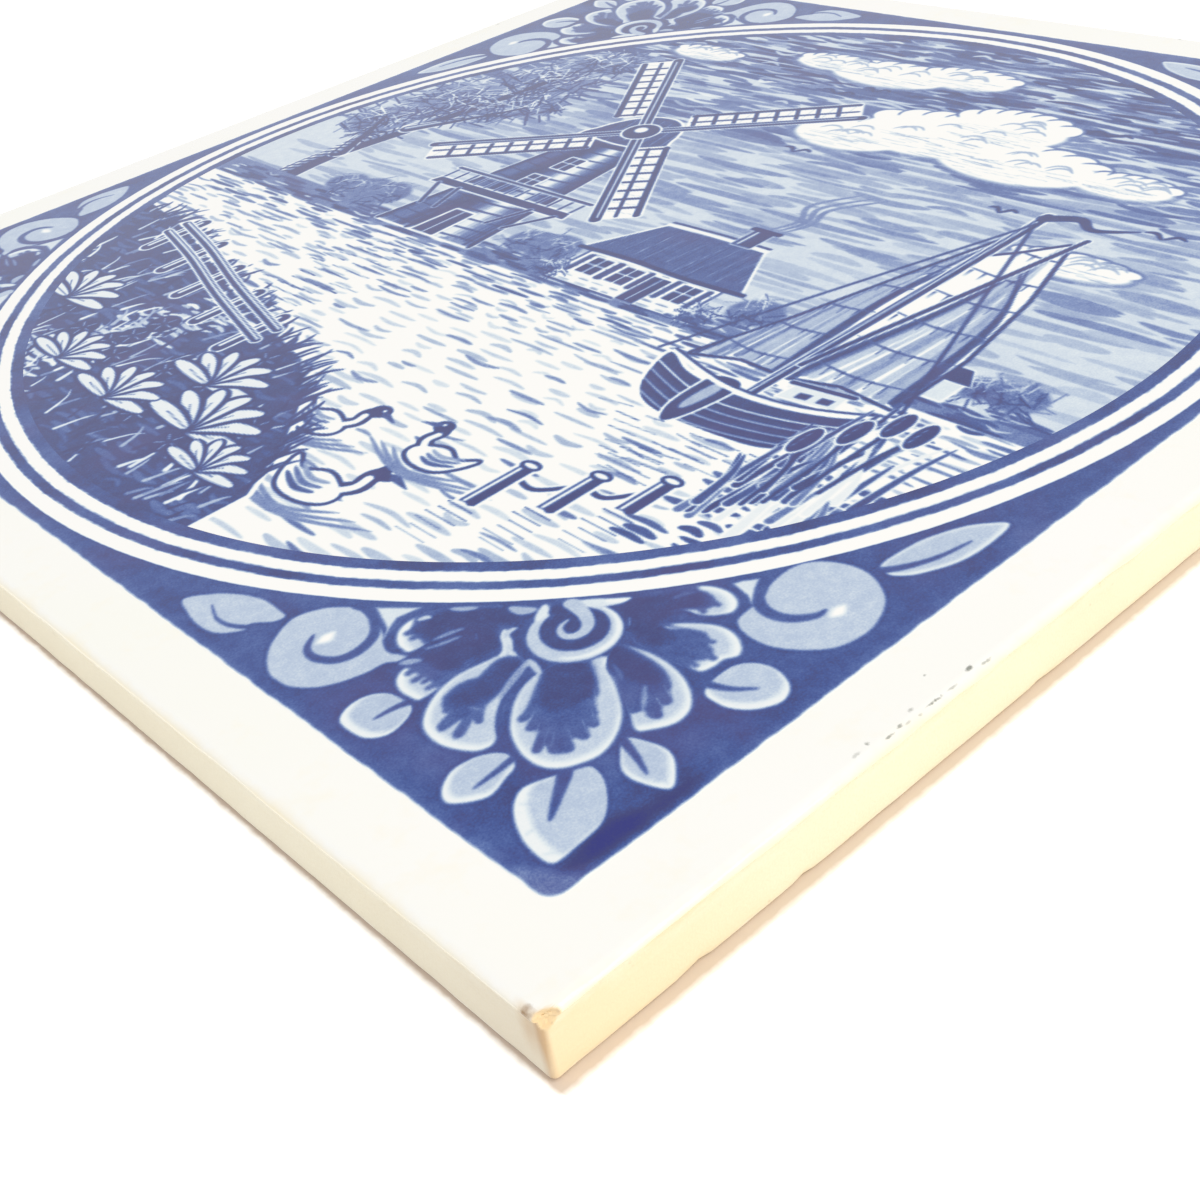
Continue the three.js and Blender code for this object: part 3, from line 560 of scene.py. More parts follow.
class Canvas:
    """A square of the glazed face on a fine grid, in millimetres, with how much ink lies where."""

    def __init__(self, low, high, step):
        self.low, self.step = low, step
        self.count = round((high - low) / step) + 1
        self.ink = np.zeros((self.count, self.count))
        self.mask = None

    def window(self, line, margin):
        """The part of the grid round a line, with the places in it along both axes."""
        low = np.floor((line.min(0) - margin - self.low) / self.step)
        high = np.ceil((line.max(0) + margin - self.low) / self.step)
        low, high = (end.astype(int).clip(0, self.count - 1) for end in (low, high))
        part = (slice(low[1], high[1] + 1), slice(low[0], high[0] + 1))
        x = self.low + self.step * np.arange(low[0], high[0] + 1)[None, :]
        y = self.low + self.step * np.arange(low[1], high[1] + 1)[:, None]
        return part, x, y

    def nearest(self, line, halves, x, y):
        """How far each place is outside a line of varying half width."""
        best = np.full((y.shape[0], x.shape[1]), 99.0)
        for (x0, y0), (x1, y1), w0, w1 in zip(line[:-1], line[1:], halves[:-1], halves[1:]):
            dx, dy = x1 - x0, y1 - y0
            t = (((x - x0) * dx + (y - y0) * dy) / max(dx * dx + dy * dy, 1e-9)).clip(0, 1)
            best = np.minimum(best, np.hypot(x - x0 - t * dx, y - y0 - t * dy) - w0 - t * (w1 - w0))
        return best

    def lay(self, part, outside, tone, soft, strength):
        """Covers a part of the grid with a tone, fading over a soft edge where outside is none."""
        cover = (0.5 - outside / soft).clip(0, 1)
        cover = strength * cover * cover * (3 - 2 * cover)
        if self.mask is not None:
            cover = cover * self.mask[part]
        self.ink[part] += (tone - self.ink[part]) * cover

    def brush(self, points, width, tone, form="leaf", soft=0.26, strength=1.0, smooth=True):
        """A brush stroke: a leaf is thin at both ends, a comet is drawn out, a line is even."""
        line = smooth_line(points) if smooth and len(points) > 2 else np.asarray(points, float)
        share = np.linspace(0, 1, len(line))
        full = {"leaf": np.sin(math.pi * share) ** 0.6, "comet": (1 - share) ** 0.7,
                "line": np.ones(len(line))}[form]
        part, x, y = self.window(line, width)
        halves = width / 2 * (0.12 + 0.88 * full)
        self.lay(part, self.nearest(line, halves, x, y), tone, soft, strength)

    def rule(self, points, width, tone):
        """An even stroke with straight stretches."""
        self.brush(points, width, tone, "line", smooth=False)

    def outside(self, outline, part, x, y):
        """How far each place is outside a closed outline, and less than nothing inside it."""
        ring = np.vstack([outline, outline[:1]])
        away = self.nearest(ring, np.zeros(len(ring)), x, y)
        inside = np.zeros(away.shape, bool)
        for (x0, y0), (x1, y1) in zip(ring[:-1], ring[1:]):
            if y0 != y1:
                inside ^= ((y0 > y) != (y1 > y)) & (x < (x1 - x0) * (y - y0) / (y1 - y0) + x0)
        return np.where(inside, -away, away)

    def fill(self, points, tone, grow=0.0, soft=0.26, strength=1.0, smooth=True):
        """A shape filled with one tone, grown or drawn in from its outline."""
        outline = smooth_line(points, True) if smooth else np.asarray(points, float)
        part, x, y = self.window(outline, max(grow, 0) + soft)
        self.lay(part, self.outside(outline, part, x, y) - grow, tone, soft, strength)

    def keep_within(self, points, smooth=False, grow=0.0):
        """Lets later strokes fall only inside an outline, until this is called with none."""
        self.mask = None
        if points is not None:
            outline = smooth_line(points, True) if smooth else np.asarray(points, float)
            part, x, y = self.window(outline, 1 + grow)
            mask = np.zeros(self.ink.shape)
            mask[part] = (0.5 - (self.outside(outline, part, x, y) - grow) / 0.2).clip(0, 1)
            self.mask = mask

    def at(self, x, y):
        """The ink at any places, drawn between the places of the grid."""
        u = ((x - self.low) / self.step).clip(0, self.count - 1.001)
        v = ((y - self.low) / self.step).clip(0, self.count - 1.001)
        i, j = u.astype(int), v.astype(int)
        u, v = u - i, v - j
        ink = self.ink
        return ((ink[j, i] * (1 - u) + ink[j, i + 1] * u) * (1 - v)
                + (ink[j + 1, i] * (1 - u) + ink[j + 1, i + 1] * u) * v)


def pull(x, y, length, angle):
    """A straight stretch from a place, as its two ends."""
    return [(x, y), (x + length * math.cos(angle), y + length * math.sin(angle))]


corner_art = Canvas(0.0, CORNER_REACH, 0.08)
corner_art.ink[:] = GROUND_TONE
draw = np.random.default_rng(5)

# Uneven pulls of the brush in the ground, darkest in the tile's own corner.
for _ in range(420):
    x, y = draw.uniform(0, 50, 2)
    angle = draw.uniform(-0.6, 0.6) + (0 if y < x else math.pi / 2)
    length = draw.uniform(1, 4)
    tone = GROUND_TONE + draw.uniform(-0.06, 0.06)
    corner_art.brush(pull(x, y, length, angle), draw.uniform(0.3, 0.9), tone, soft=0.5, strength=0.6)
for _ in range(60):
    x, y = draw.uniform(0, 48), draw.uniform(0, 12)
    place = (x, y) if draw.uniform() < 0.5 else (y, x)
    corner_art.fill([(place[0] + 2 * math.cos(a), place[1] + 2 * math.sin(a)) for a in (0, 1.5, 3, 4.5)],
                    GROUND_TONE + draw.choice([-0.1, 0.09]), soft=2.5, strength=0.6)
corner_art.brush([(2.2, 1.6), (4, 1.4), (6.5, 1.5), (9, 1.1), (13, 0.9)], 1.7, 1.08, soft=1.6)
corner_art.brush([(4.2, 1.3), (6.3, 1.7), (8.4, 1.3)], 1.3, 1.3, soft=1.6)
# The paler patch right at the tip is a painted glare, which the print's finish tints purple at the near
# corner.
corner_art.fill([(0.2, 0.2), (2.4, 0.4), (2.0, 1.8), (1.2, 3.4), (0.2, 4)], 0.55, soft=1.3, strength=0.9)
corner_art.brush([(0.5, 8), (0.6, 6.4), (0.8, 5)], 0.8, 0.64, soft=0.8, strength=0.6)

# Leaves: buds and the corner leaf show a near-white edge on one side, scrolls are an even wash. Each
# has a dark vein. With the outline goes which way the wash is drawn in from that edge.
LEAVES = [
    ([(6.3, 37.1), (4, 36), (2.5, 34.6), (1.6, 33), (1.4, 31.8), (1.6, 30.2), (2.6, 28.7), (4, 27.7),
      (6, 27), (7.5, 26.8), (8.3, 26.2), (9.2, 26.3), (8.5, 27.6), (8.9, 28.9), (9.6, 29.9), (10, 31.5),
      (10.2, 33.9), (9.6, 35.3), (8.3, 36.5)],
     (0, 0)),
    ([(26.2, 10.3), (25.4, 8.4), (25.6, 6.2), (26.6, 4.4), (28, 3), (30, 2.4), (32, 2.6), (34.3, 3.8),
      (35.8, 6), (36.1, 8), (35.6, 9.8), (34.5, 11.2), (33, 11.7), (31, 11.5), (29.6, 10.9),
      (28.2, 10.7)],
     (0, 0)),
    ([(2.4, 46.6), (1.6, 44.5), (1.3, 42.2), (1.7, 40.3), (3.2, 38.9), (4, 39.2), (5.2, 38),
      (6.2, 37.8), (6.4, 39), (6.4, 41), (5.8, 43), (4.5, 45)],
     (0, 0)),
    ([(46.8, 2.6), (46, 4), (44.5, 5.2), (42, 6.3), (40, 6.7), (37.4, 6.8), (36.7, 5.7), (37.2, 4.6),
      (38.5, 3.6), (41, 2.5), (44, 2.2)],
     (0, 0.1)),
    ([(3.3, 20.1), (1.9, 20.9), (1.5, 22.4), (1.7, 24.1), (2.9, 24.9), (4.4, 24.9), (5.6, 23.9),
      (6, 22.2), (5.4, 20.8)],
     (0.45, 0)),
    ([(3.6, 10.0), (2.1, 10.8), (1.4, 11.8), (2, 13), (3.6, 13.9), (5.6, 13.6), (6.8, 12.4), (6.5, 11),
      (5.3, 10.5)],
     (0.4, 0.1)),
    ([(11.3, 1.6), (10.4, 3.5), (10.4, 5), (11.2, 6.2), (12.7, 7.4), (13.5, 5.9), (13.7, 4.2),
      (12.9, 2.8)],
     (0.1, 0.4)),
    ([(19.2, 6.6), (18.9, 5), (19.3, 3.6), (20.3, 2.5), (21.8, 1.9), (23.2, 2.6), (23.9, 4.2),
      (23.7, 5.8), (22.7, 6.9), (21, 7.1)],
     (0.25, 0.45)),
    ([(2.3, 2.4), (2.1, 4), (2.6, 6), (3.8, 8), (5.4, 9), (7.4, 8.3), (8.8, 7.7), (9.5, 7), (9.2, 5.6),
      (8, 3.9), (6.4, 2.7), (4.2, 2.4)],
     (0.75, -0.1)),
]
VEINS = [
    ([(10.1, 34.4), (10.6, 33.4), (10, 31.5), (8.8, 30.1), (7, 29.6), (5.5, 30.1), (4.7, 31.5),
      (4.9, 32.9), (6.2, 34)],
     0.85),
    ([(32.6, 12.3), (31, 12.2), (29.7, 11.6), (28.5, 10.2), (28.3, 8.6), (28.9, 7.3), (30, 6.4),
      (30.9, 6.3)],
     0.95),
    ([(3.7, 38.9), (2.9, 40.3), (2.7, 42), (3.4, 43.9)], 0.5),
    ([(36.9, 6.2), (38.4, 5.1), (40.6, 4.1), (43.4, 3.5)], 0.75),
    ([(6.8, 21.5), (5.2, 22.1), (3.4, 22.3)], 0.7),
    ([(7.8, 11.7), (5.4, 11.5), (3.4, 11.4)], 0.65),
    ([(12.6, 7.6), (12, 5.6), (11.3, 3.8)], 0.72),
    ([(19.8, 7.6), (20.5, 5.6), (21.7, 4.1)], 0.74),
    ([(9, 9), (8, 7.9), (6.4, 6.7), (4.6, 5.4)], 1.3),
]
for outline, (aside, up) in LEAVES:
    corner_art.fill(outline, 0.9, grow=0.3, soft=0.4, strength=0.6)
    corner_art.fill(outline, RIM_TONE if aside or up else WASH_TONE, soft=0.4)
    if aside or up:
        corner_art.keep_within(outline, True)
        corner_art.fill(np.array(outline) + (aside, up), WASH_TONE, grow=-0.3, soft=0.7)
    middle = np.mean(outline, axis=0)
    corner_art.keep_within(outline, True, -0.35)
    for _ in range(14):
        x, y = middle + draw.uniform(-4, 4, 2)
        angle = draw.uniform(0, math.pi)
        length = draw.uniform(0.8, 2.2)
        corner_art.brush(pull(x, y, length, angle), draw.uniform(0.3, 0.8),
                         WASH_TONE + draw.uniform(-0.04, 0.04), soft=0.6, strength=0.6)
    corner_art.keep_within(None)
for line, width in VEINS:
    corner_art.brush(line, width, 0.8, "comet" if width < 0.8 or width > 0.96 else "leaf", 0.4)
for x, y in ((6.6, 32.9), (31.3, 5.5)):
    corner_art.fill([(x - 0.8, y), (x, y + 0.45), (x + 0.8, y + 0.1), (x, y - 0.5)], 0.03, soft=0.7)
for slip in ([(9.3, 29.3), (10.2, 30.2), (11.2, 33), (12, 31.9), (13.3, 30.2), (11.4, 30.6), (10.2, 30)],
             [(28.3, 10.9), (28.9, 11.9), (29.3, 13.7), (30, 13.4), (30.9, 12.6), (29.8, 12)]):
    corner_art.fill(slip, 0.15, soft=0.4, smooth=False)

# Petals: a pale wash with a near-white rim, brushed over from the eye outwards: first a heart in the
# ground's blue with blunt fingers towards the tip, then the deepest blue over its half by the eye.
# With each outline go the heart, its fingers (from, to, width) and the deep part.
PETALS = [
    ([(14.2, 17), (12.9, 17), (11.6, 16.6), (10.3, 15.8), (9.2, 14.8), (8.3, 13.7), (7.6, 12.2),
      (7.3, 10.7), (7.5, 9.3), (8.3, 8.3), (9.4, 7.7), (10.7, 7.4), (12, 7.7), (13.3, 8.4), (14.5, 9.5),
      (15.5, 10.9), (16.4, 12.5), (17.1, 13.9), (18, 14.3), (17.4, 15.1), (16.4, 15.3), (15.4, 16.6)],
     [(14.4, 17.3), (13.4, 16.6), (12.4, 16), (11.4, 15.3), (10.4, 14.7), (9.6, 14.4), (9.6, 14),
      (10.2, 13.8), (9.7, 13.4), (9.3, 13.1), (9.5, 12.7), (9.7, 12.2), (9.2, 11.9), (8.5, 11.4),
      (8.1, 11), (8.4, 10.8), (9, 11), (8.9, 10.5), (8.8, 10), (9.2, 9.5), (9.7, 9.2), (10.1, 9.4),
      (10.3, 9.9), (10.7, 10), (11, 9.5), (11.4, 9.4), (11.7, 9.8), (12, 10.1), (12.4, 9.8), (12.8, 10),
      (13.1, 10.5), (13.5, 11.1), (14.1, 11.8), (14.8, 12.2), (15.2, 12.8), (15.8, 13.7), (16.3, 14.6),
      (16.7, 15.4), (16, 16.8)],
     [((11.4, 14.4), (9.8, 14.2), 0.45),
      ((11, 13.9), (9.5, 13.1), 0.5),
      ((10.8, 12.8), (8.4, 11.1), 0.55),
      ((10.6, 12), (9, 10.2), 0.55),
      ((10.9, 11.2), (9.7, 9.5), 0.6),
      ((11.9, 11.2), (11.2, 9.6), 0.55),
      ((12.9, 11.4), (12.4, 10), 0.5),
      ((13.8, 12), (13.2, 10.8), 0.4)],
     [(14.6, 17.3), (13.2, 16.1), (12.2, 15.3), (11.6, 14.4), (11.5, 13.5), (12.2, 12.8), (13.2, 12.5),
      (14.2, 12.4), (15.1, 12.9), (15.9, 13.9), (16.6, 15.2), (16, 16.8)]),
    ([(13.9, 20.2), (13.1, 20.9), (11.8, 21.2), (10.3, 21.5), (8.8, 21.4), (7.3, 20.9), (5.9, 20),
      (5, 19), (4.6, 17.8), (4.6, 16.4), (5, 15.2), (5.7, 14.1), (6.6, 13.7), (7.3, 14), (7.9, 14.9),
      (8.9, 16), (10.2, 17), (11.5, 17.6), (13, 18.1), (14, 18.9)],
     [(13.8, 19.9), (13.3, 20.4), (12.3, 20.5), (11.4, 20.3), (10.7, 20.1), (10, 20.5), (9, 20.6),
      (8, 20.4), (7.4, 19.9), (7.1, 19.4), (7.3, 19), (6.9, 18.6), (6.2, 18.4), (5.6, 18), (5.5, 17.6),
      (6.2, 17.5), (7, 17.5), (7.1, 17.2), (6.6, 17), (5.9, 16.6), (5.7, 16.2), (6.3, 16.1), (7, 16.5),
      (7.6, 16.9), (7.6, 16.4), (7.9, 16.2), (8.4, 16.8), (9, 17.2), (9.7, 17.4), (10.6, 17.6),
      (11.6, 17.9), (12.6, 18.3), (13.6, 18.7), (14, 19.3)],
     [((8.2, 19.2), (7.1, 19), 0.5),
      ((8, 18.4), (5.9, 17.9), 0.6),
      ((8, 17.4), (6.1, 16.5), 0.6),
      ((8.6, 17.2), (7.8, 16.4), 0.4)],
     [(13.8, 19.9), (12.8, 20.4), (11.2, 19.9), (9.6, 20.2), (8.3, 20.1), (7.8, 19.4), (8, 18.6),
      (8.7, 18), (9.7, 17.7), (11, 17.9), (12.5, 18.3), (13.7, 18.9)]),
    ([(7.3, 21.4), (6.5, 21.5), (6.3, 22.4), (6.3, 23.4), (6.7, 24.4), (7.4, 25), (8.1, 25.2),
      (9.5, 25.4), (12, 25.7), (15, 25.2), (17.2, 24.6), (17.4, 22.9), (15, 22.6), (12, 22), (9, 21.6)],
     [(8.5, 25.6), (8.3, 24.7), (8.3, 23.9), (8.5, 23.1), (8.4, 22.4), (8.5, 21.4), (12, 21.6),
      (15, 22.2), (17.6, 22.8), (17.6, 25), (15, 25.8), (12, 26.2)],
     [((9.6, 24.5), (7.9, 24.5), 0.5),
      ((9.6, 23.4), (7.7, 23.5), 0.5),
      ((9.6, 22.8), (8, 22.8), 0.4),
      ((9.4, 21.9), (7.8, 22), 0.5)],
     None),
    ([(9.5, 26.4), (9.3, 27.2), (9.5, 28.1), (10.2, 29), (11.2, 29.5), (12.4, 29.5), (13.6, 29),
      (15, 27.8), (16.2, 26.4), (17, 25.3), (14, 25.8), (11.4, 26.3)],
     [(11, 26.2), (10.9, 27), (10.9, 27.8), (10.8, 28.4), (11.5, 28.8), (12.6, 29.7), (13.8, 29.2),
      (15.2, 27.9), (17, 25.2), (14, 25.6)],
     [((12, 27.4), (10.6, 27.6), 0.5), ((12, 28), (10.7, 28.4), 0.5)],
     None),
    ([(17, 13.6), (15.8, 10.8), (14.6, 8.8), (13.7, 7.4), (14.5, 6.5), (15.9, 5.8), (17.3, 6),
      (18.4, 6.9), (19.3, 8.3), (19.8, 9.8), (20, 11.5), (19.8, 13.4), (19, 15)],
     [(17.2, 14.6), (16.4, 12.4), (15.6, 10.9), (14.9, 9.7), (14.7, 9), (15, 8.7), (15.4, 8.4),
      (15.2, 7.8), (15.4, 7.2), (15.8, 7.1), (16.2, 7.6), (16.6, 7.8), (16.9, 7.6), (17.3, 7.7),
      (17.7, 8.3), (18.2, 8.8), (18.7, 9.3), (19, 10), (19.3, 10.8), (19.4, 11.8), (19.4, 13.4),
      (19.2, 15.2)],
     [((15.9, 10.4), (15, 9), 0.4),
      ((16.5, 9.4), (15.6, 7.5), 0.55),
      ((17.5, 9.6), (17.1, 8), 0.45),
      ((18.2, 9.8), (18.2, 9), 0.35)],
     [(17.5, 14.8), (17, 12.2), (17.3, 10.4), (18.3, 9.6), (19, 10.7), (19.3, 12.6), (19.3, 15)]),
    ([(20.4, 14.6), (20.3, 11), (20.5, 9.2), (20.7, 8.3), (21.6, 8), (22.5, 8), (23.4, 7.5),
      (24.2, 7.9), (24.9, 8.9), (25.2, 10.2), (24.9, 11.5), (24.2, 12.6), (23.4, 13.6), (22.7, 14.1)],
     [(20, 15), (20, 9.6), (21.2, 9.5), (21.7, 9.1), (22.3, 9), (22.9, 9.4), (23.1, 10), (23.6, 10.5),
      (23.9, 11.2), (23.6, 12.2), (23.2, 13), (22.6, 14.2)],
     [((21.2, 10.4), (20.9, 9.1), 0.4), ((22.4, 10.2), (22.2, 8.7), 0.5), ((23, 11), (23.5, 10), 0.4)],
     [(20.6, 15.8), (20.6, 13.2), (21.4, 12.4), (22.3, 12.6), (22.8, 13.5), (23.6, 14.6), (23, 16)]),
    ([(25, 14.2), (25.2, 13), (25.8, 12), (26.8, 11.3), (27.8, 11.7), (28.4, 12.8), (28.4, 14),
      (27.9, 15.2), (26.5, 16.4), (24.5, 17.8), (23.2, 18.2), (23.6, 16), (24.4, 14.8)],
     [(24.8, 14.8), (25.5, 13.7), (25.9, 13.1), (26.7, 13), (27.2, 13.5), (27.4, 14.3), (27.3, 15.1),
      (27.5, 15.8), (26.2, 17.2), (23, 19), (22.8, 16.4)],
     [((26, 14.4), (25.6, 13), 0.4), ((26.7, 14.4), (26.8, 12.8), 0.5)],
     None),
]
DEEP_MASSES = [
    [(11.3, 28.4), (12.5, 28.6), (14.2, 28.4), (15.8, 26.6), (17.2, 25), (17.3, 23.2), (16.2, 23),
     (15.6, 23.8), (14.6, 22.9), (14.2, 21.8), (11.5, 22), (9.8, 22.4), (9.6, 25.2), (11, 26.2),
     (11.2, 27.4)],
    [(20.8, 15.8), (22, 17.6), (22.6, 18.4), (23.6, 18.3), (24.8, 17.2), (26.4, 15.9), (27, 14.6),
     (26.6, 13.7), (25.8, 13.8), (24.6, 14.5), (23.4, 14.9), (22, 14.3), (20.9, 14.2)],
]
EYE = np.array([18.45, 18.75])
for outline, heart, fingers, deep in PETALS:
    corner_art.fill(outline, 0.84, grow=0.35, soft=0.5, strength=0.8)
for outline, heart, fingers, deep in PETALS:
    shape = np.array(outline)
    tip = max(outline, key=lambda place: math.dist(place, EYE))
    drawn_in = (EYE - tip) / math.dist(EYE, tip) * 0.5
    corner_art.fill(outline, RIM_TONE, soft=0.5)
    corner_art.keep_within(outline, True, 0.1)
    corner_art.fill(shape + drawn_in, WASH_TONE - 0.02, grow=-0.25, soft=0.8)
    corner_art.fill(heart, GROUND_TONE - 0.04, soft=0.55)
    for start, end, width in fingers:
        corner_art.brush([start, end], width, GROUND_TONE - 0.08, "line", 0.5)
    if deep:
        corner_art.fill(deep, DEEP_TONE, soft=1.1)
    middle = np.mean(heart, axis=0)
    for _ in range(16):
        start = middle + draw.uniform(-3, 3, 2)
        ahead = (start - EYE) / max(math.dist(start, EYE), 1) * draw.uniform(0.8, 2.2)
        corner_art.keep_within(heart, True, -0.3)
        corner_art.brush([start, start + ahead], draw.uniform(0.2, 0.5), draw.choice([0.7, 0.84, 0.93]),
                         soft=0.4, strength=0.6)
    corner_art.keep_within(None)
for mass in DEEP_MASSES:
    corner_art.fill(mass, DEEP_TONE, soft=0.9)

# Pale strokes over the petals, where the brush left the wash open: each a line, its width and its tone.
PALE_STROKES = [
    ([(8.2, 25.9), (8.8, 25.5), (9.4, 25)], 0.7, 0.36),
    ([(10.4, 25.8), (11.6, 25.3), (13, 24.9)], 0.4, 0.45),
    ([(11.4, 26.2), (12.6, 25.9), (13.7, 25.5)], 0.45, 0.45),
    ([(12.2, 29.1), (12.7, 28.9), (13, 28.6)], 0.55, 0.2),
    ([(14.6, 28.2), (15.2, 27.4), (15.9, 26.7)], 0.6, 0.33),
    ([(15.4, 8.5), (16.3, 9.3), (17.3, 10.3)], 0.45, 0.42),
    ([(13.2, 20.8), (13.9, 20.9), (14.5, 21.5), (14.9, 22.3), (15.4, 22.9)], 0.85, 0.16),
    ([(14.9, 22.2), (15.5, 22.5), (16.1, 22.4)], 0.5, 0.22),
    ([(14, 20), (14, 20.6), (14.4, 21.2)], 0.5, 0.2),
    ([(13.7, 17), (14, 17.9), (14.2, 18.8)], 0.6, 0.22),
    ([(13.2, 18.5), (13.8, 18.5), (14.2, 18.8)], 0.4, 0.3),
    ([(17.4, 24.7), (17.7, 23.7), (18.4, 23)], 1.0, 0.3),
    ([(22.3, 19.6), (22.8, 19), (23.6, 18.4)], 0.6, 0.07),
    ([(21.3, 16.1), (21.9, 16.7)], 0.4, 0.3),
    ([(11, 22.1), (12, 22.2)], 0.35, 0.6),
    ([(13.5, 23.8), (13.8, 24.2)], 0.25, 0.55),
    ([(8.2, 18.1), (8.5, 17.5), (8.8, 17)], 0.16, 0.5),
    ([(17.5, 13.7), (17.2, 12.8), (16.8, 11.9)], 0.3, 0.62),
    ([(25.4, 15.9), (26.2, 15.7), (26.9, 15.2)], 0.5, 0.66),
    ([(22.7, 14), (22.9, 13.4), (23.3, 12.9)], 0.4, 0.4),
    ([(18.2, 21.2), (18.8, 21.4)], 0.25, 0.55),
    ([(9.7, 13.6), (10.8, 14.1)], 0.32, 0.42),
    ([(9.4, 12.4), (10.3, 13)], 0.3, 0.45),
    ([(9.1, 11.2), (10.3, 12.1)], 0.28, 0.5),
    ([(9.2, 10.6), (10.2, 11.4)], 0.32, 0.42),
    ([(10.4, 9.9), (11, 10.9)], 0.36, 0.4),
    ([(11.6, 9.8), (12.2, 10.9)], 0.36, 0.4),
    ([(12.6, 10.1), (13.2, 11.1)], 0.3, 0.45),
    ([(13.8, 11.2), (14.8, 12.6)], 0.42, 0.42),
    ([(16.5, 7.9), (16.8, 8.6)], 0.45, 0.33),
    ([(17.6, 8.3), (18, 9.2)], 0.4, 0.42),
    ([(10.2, 17.1), (11.4, 17.7), (12.8, 18.3), (13.8, 18.7)], 0.6, 0.42),
    ([(10.1, 17.1), (10.6, 17.4)], 0.8, 0.3),
]

# The flower's eye: a pale ring, open at one place, round a dark disc with a pale curl.
def round_the_eye(radius, low, high, step=12):
    """Places round the eye's middle, from one angle to another, in degrees."""
    angles = np.radians(np.arange(low, high, step))
    return [EYE + radius * np.array([math.cos(angle), math.sin(angle)]) for angle in angles]


corner_art.fill(round_the_eye(3.75, 0, 360, 30), 0.86, soft=0.5)
corner_art.fill(round_the_eye(2.8, 0, 360, 30), DEEP_TONE, soft=0.3)
corner_art.fill([(17.4, 21), (18.5, 22), (19.9, 22), (20.3, 21), (20.9, 20)], DEEP_TONE, soft=0.3)
corner_art.brush([(14.4, 17.4), (14.3, 18.9), (14.7, 20.5), (15.5, 21.8), (16.8, 22.7), (18.2, 22.8)],
                 0.7, 0.88, "line", 0.35)
corner_art.brush(round_the_eye(3.06, -268, 22), 0.6, 0.2, "line", 0.4)
corner_art.brush(round_the_eye(2.98, -265, 0), 1.35, 0.22, "leaf", 0.4)
corner_art.brush(round_the_eye(3.16, -150, 10), 0.5, RIM_TONE, "leaf", 0.5)
corner_art.brush([(17.6, 21.9), (18.5, 22.3), (19.2, 22.8)], 0.9, 0.14, "leaf", 0.4)
corner_art.brush([(20.2, 21.7), (20.9, 20.9), (21.6, 20.1), (22.4, 19.2), (23.2, 18.5)],
                 1.1, 0.14, "leaf", 0.35)
corner_art.brush([(20.5, 21.4), (20.4, 20.5), (20.15, 19.5), (19.6, 18.6), (18.8, 18.15), (18, 18.3),
                  (17.6, 18.9), (17.8, 19.6), (18.3, 20), (19, 20.1)], 1.3, 0.24, "comet", 0.35)
for line, width, tone in PALE_STROKES:
    corner_art.brush(line, width, tone, "leaf", 0.35)

# The print's edge is nearly straight and soft: the ink thins out over the last third of a millimetre.
axis = np.arange(corner_art.count) * corner_art.step
unsteady = 0.04 * np.sin(0.9 * axis + 2 * np.sin(0.37 * axis)) + 0.02 * np.sin(3.3 * axis + 1)
left, low = axis[None, :] + unsteady[:, None], axis[:, None] + unsteady[None, :]
turned = PRINT_CORNER - np.hypot((PRINT_CORNER - left).clip(0), (PRINT_CORNER - low).clip(0))
from_edge = np.where((left < PRINT_CORNER) & (low < PRINT_CORNER), turned, np.minimum(left, low))
faded = (from_edge / 0.34).clip(0, 1)
corner_art.ink *= faded * faded * (3 - 2 * faded) * (0.84 + 0.16 * (from_edge / 1.1).clip(0, 1))


# A layer's chart for baking has its face in the large square, and its walls and back in a strip below.
FACE_CHART = 0.96
STRIP_CHART = 0.035


def turned_round(x, y, quarters):
    """Places turned about the tile's middle by so many right angles."""
    turn = quarters * math.pi / 2
    return x * math.cos(turn) - y * math.sin(turn), x * math.sin(turn) + y * math.cos(turn)


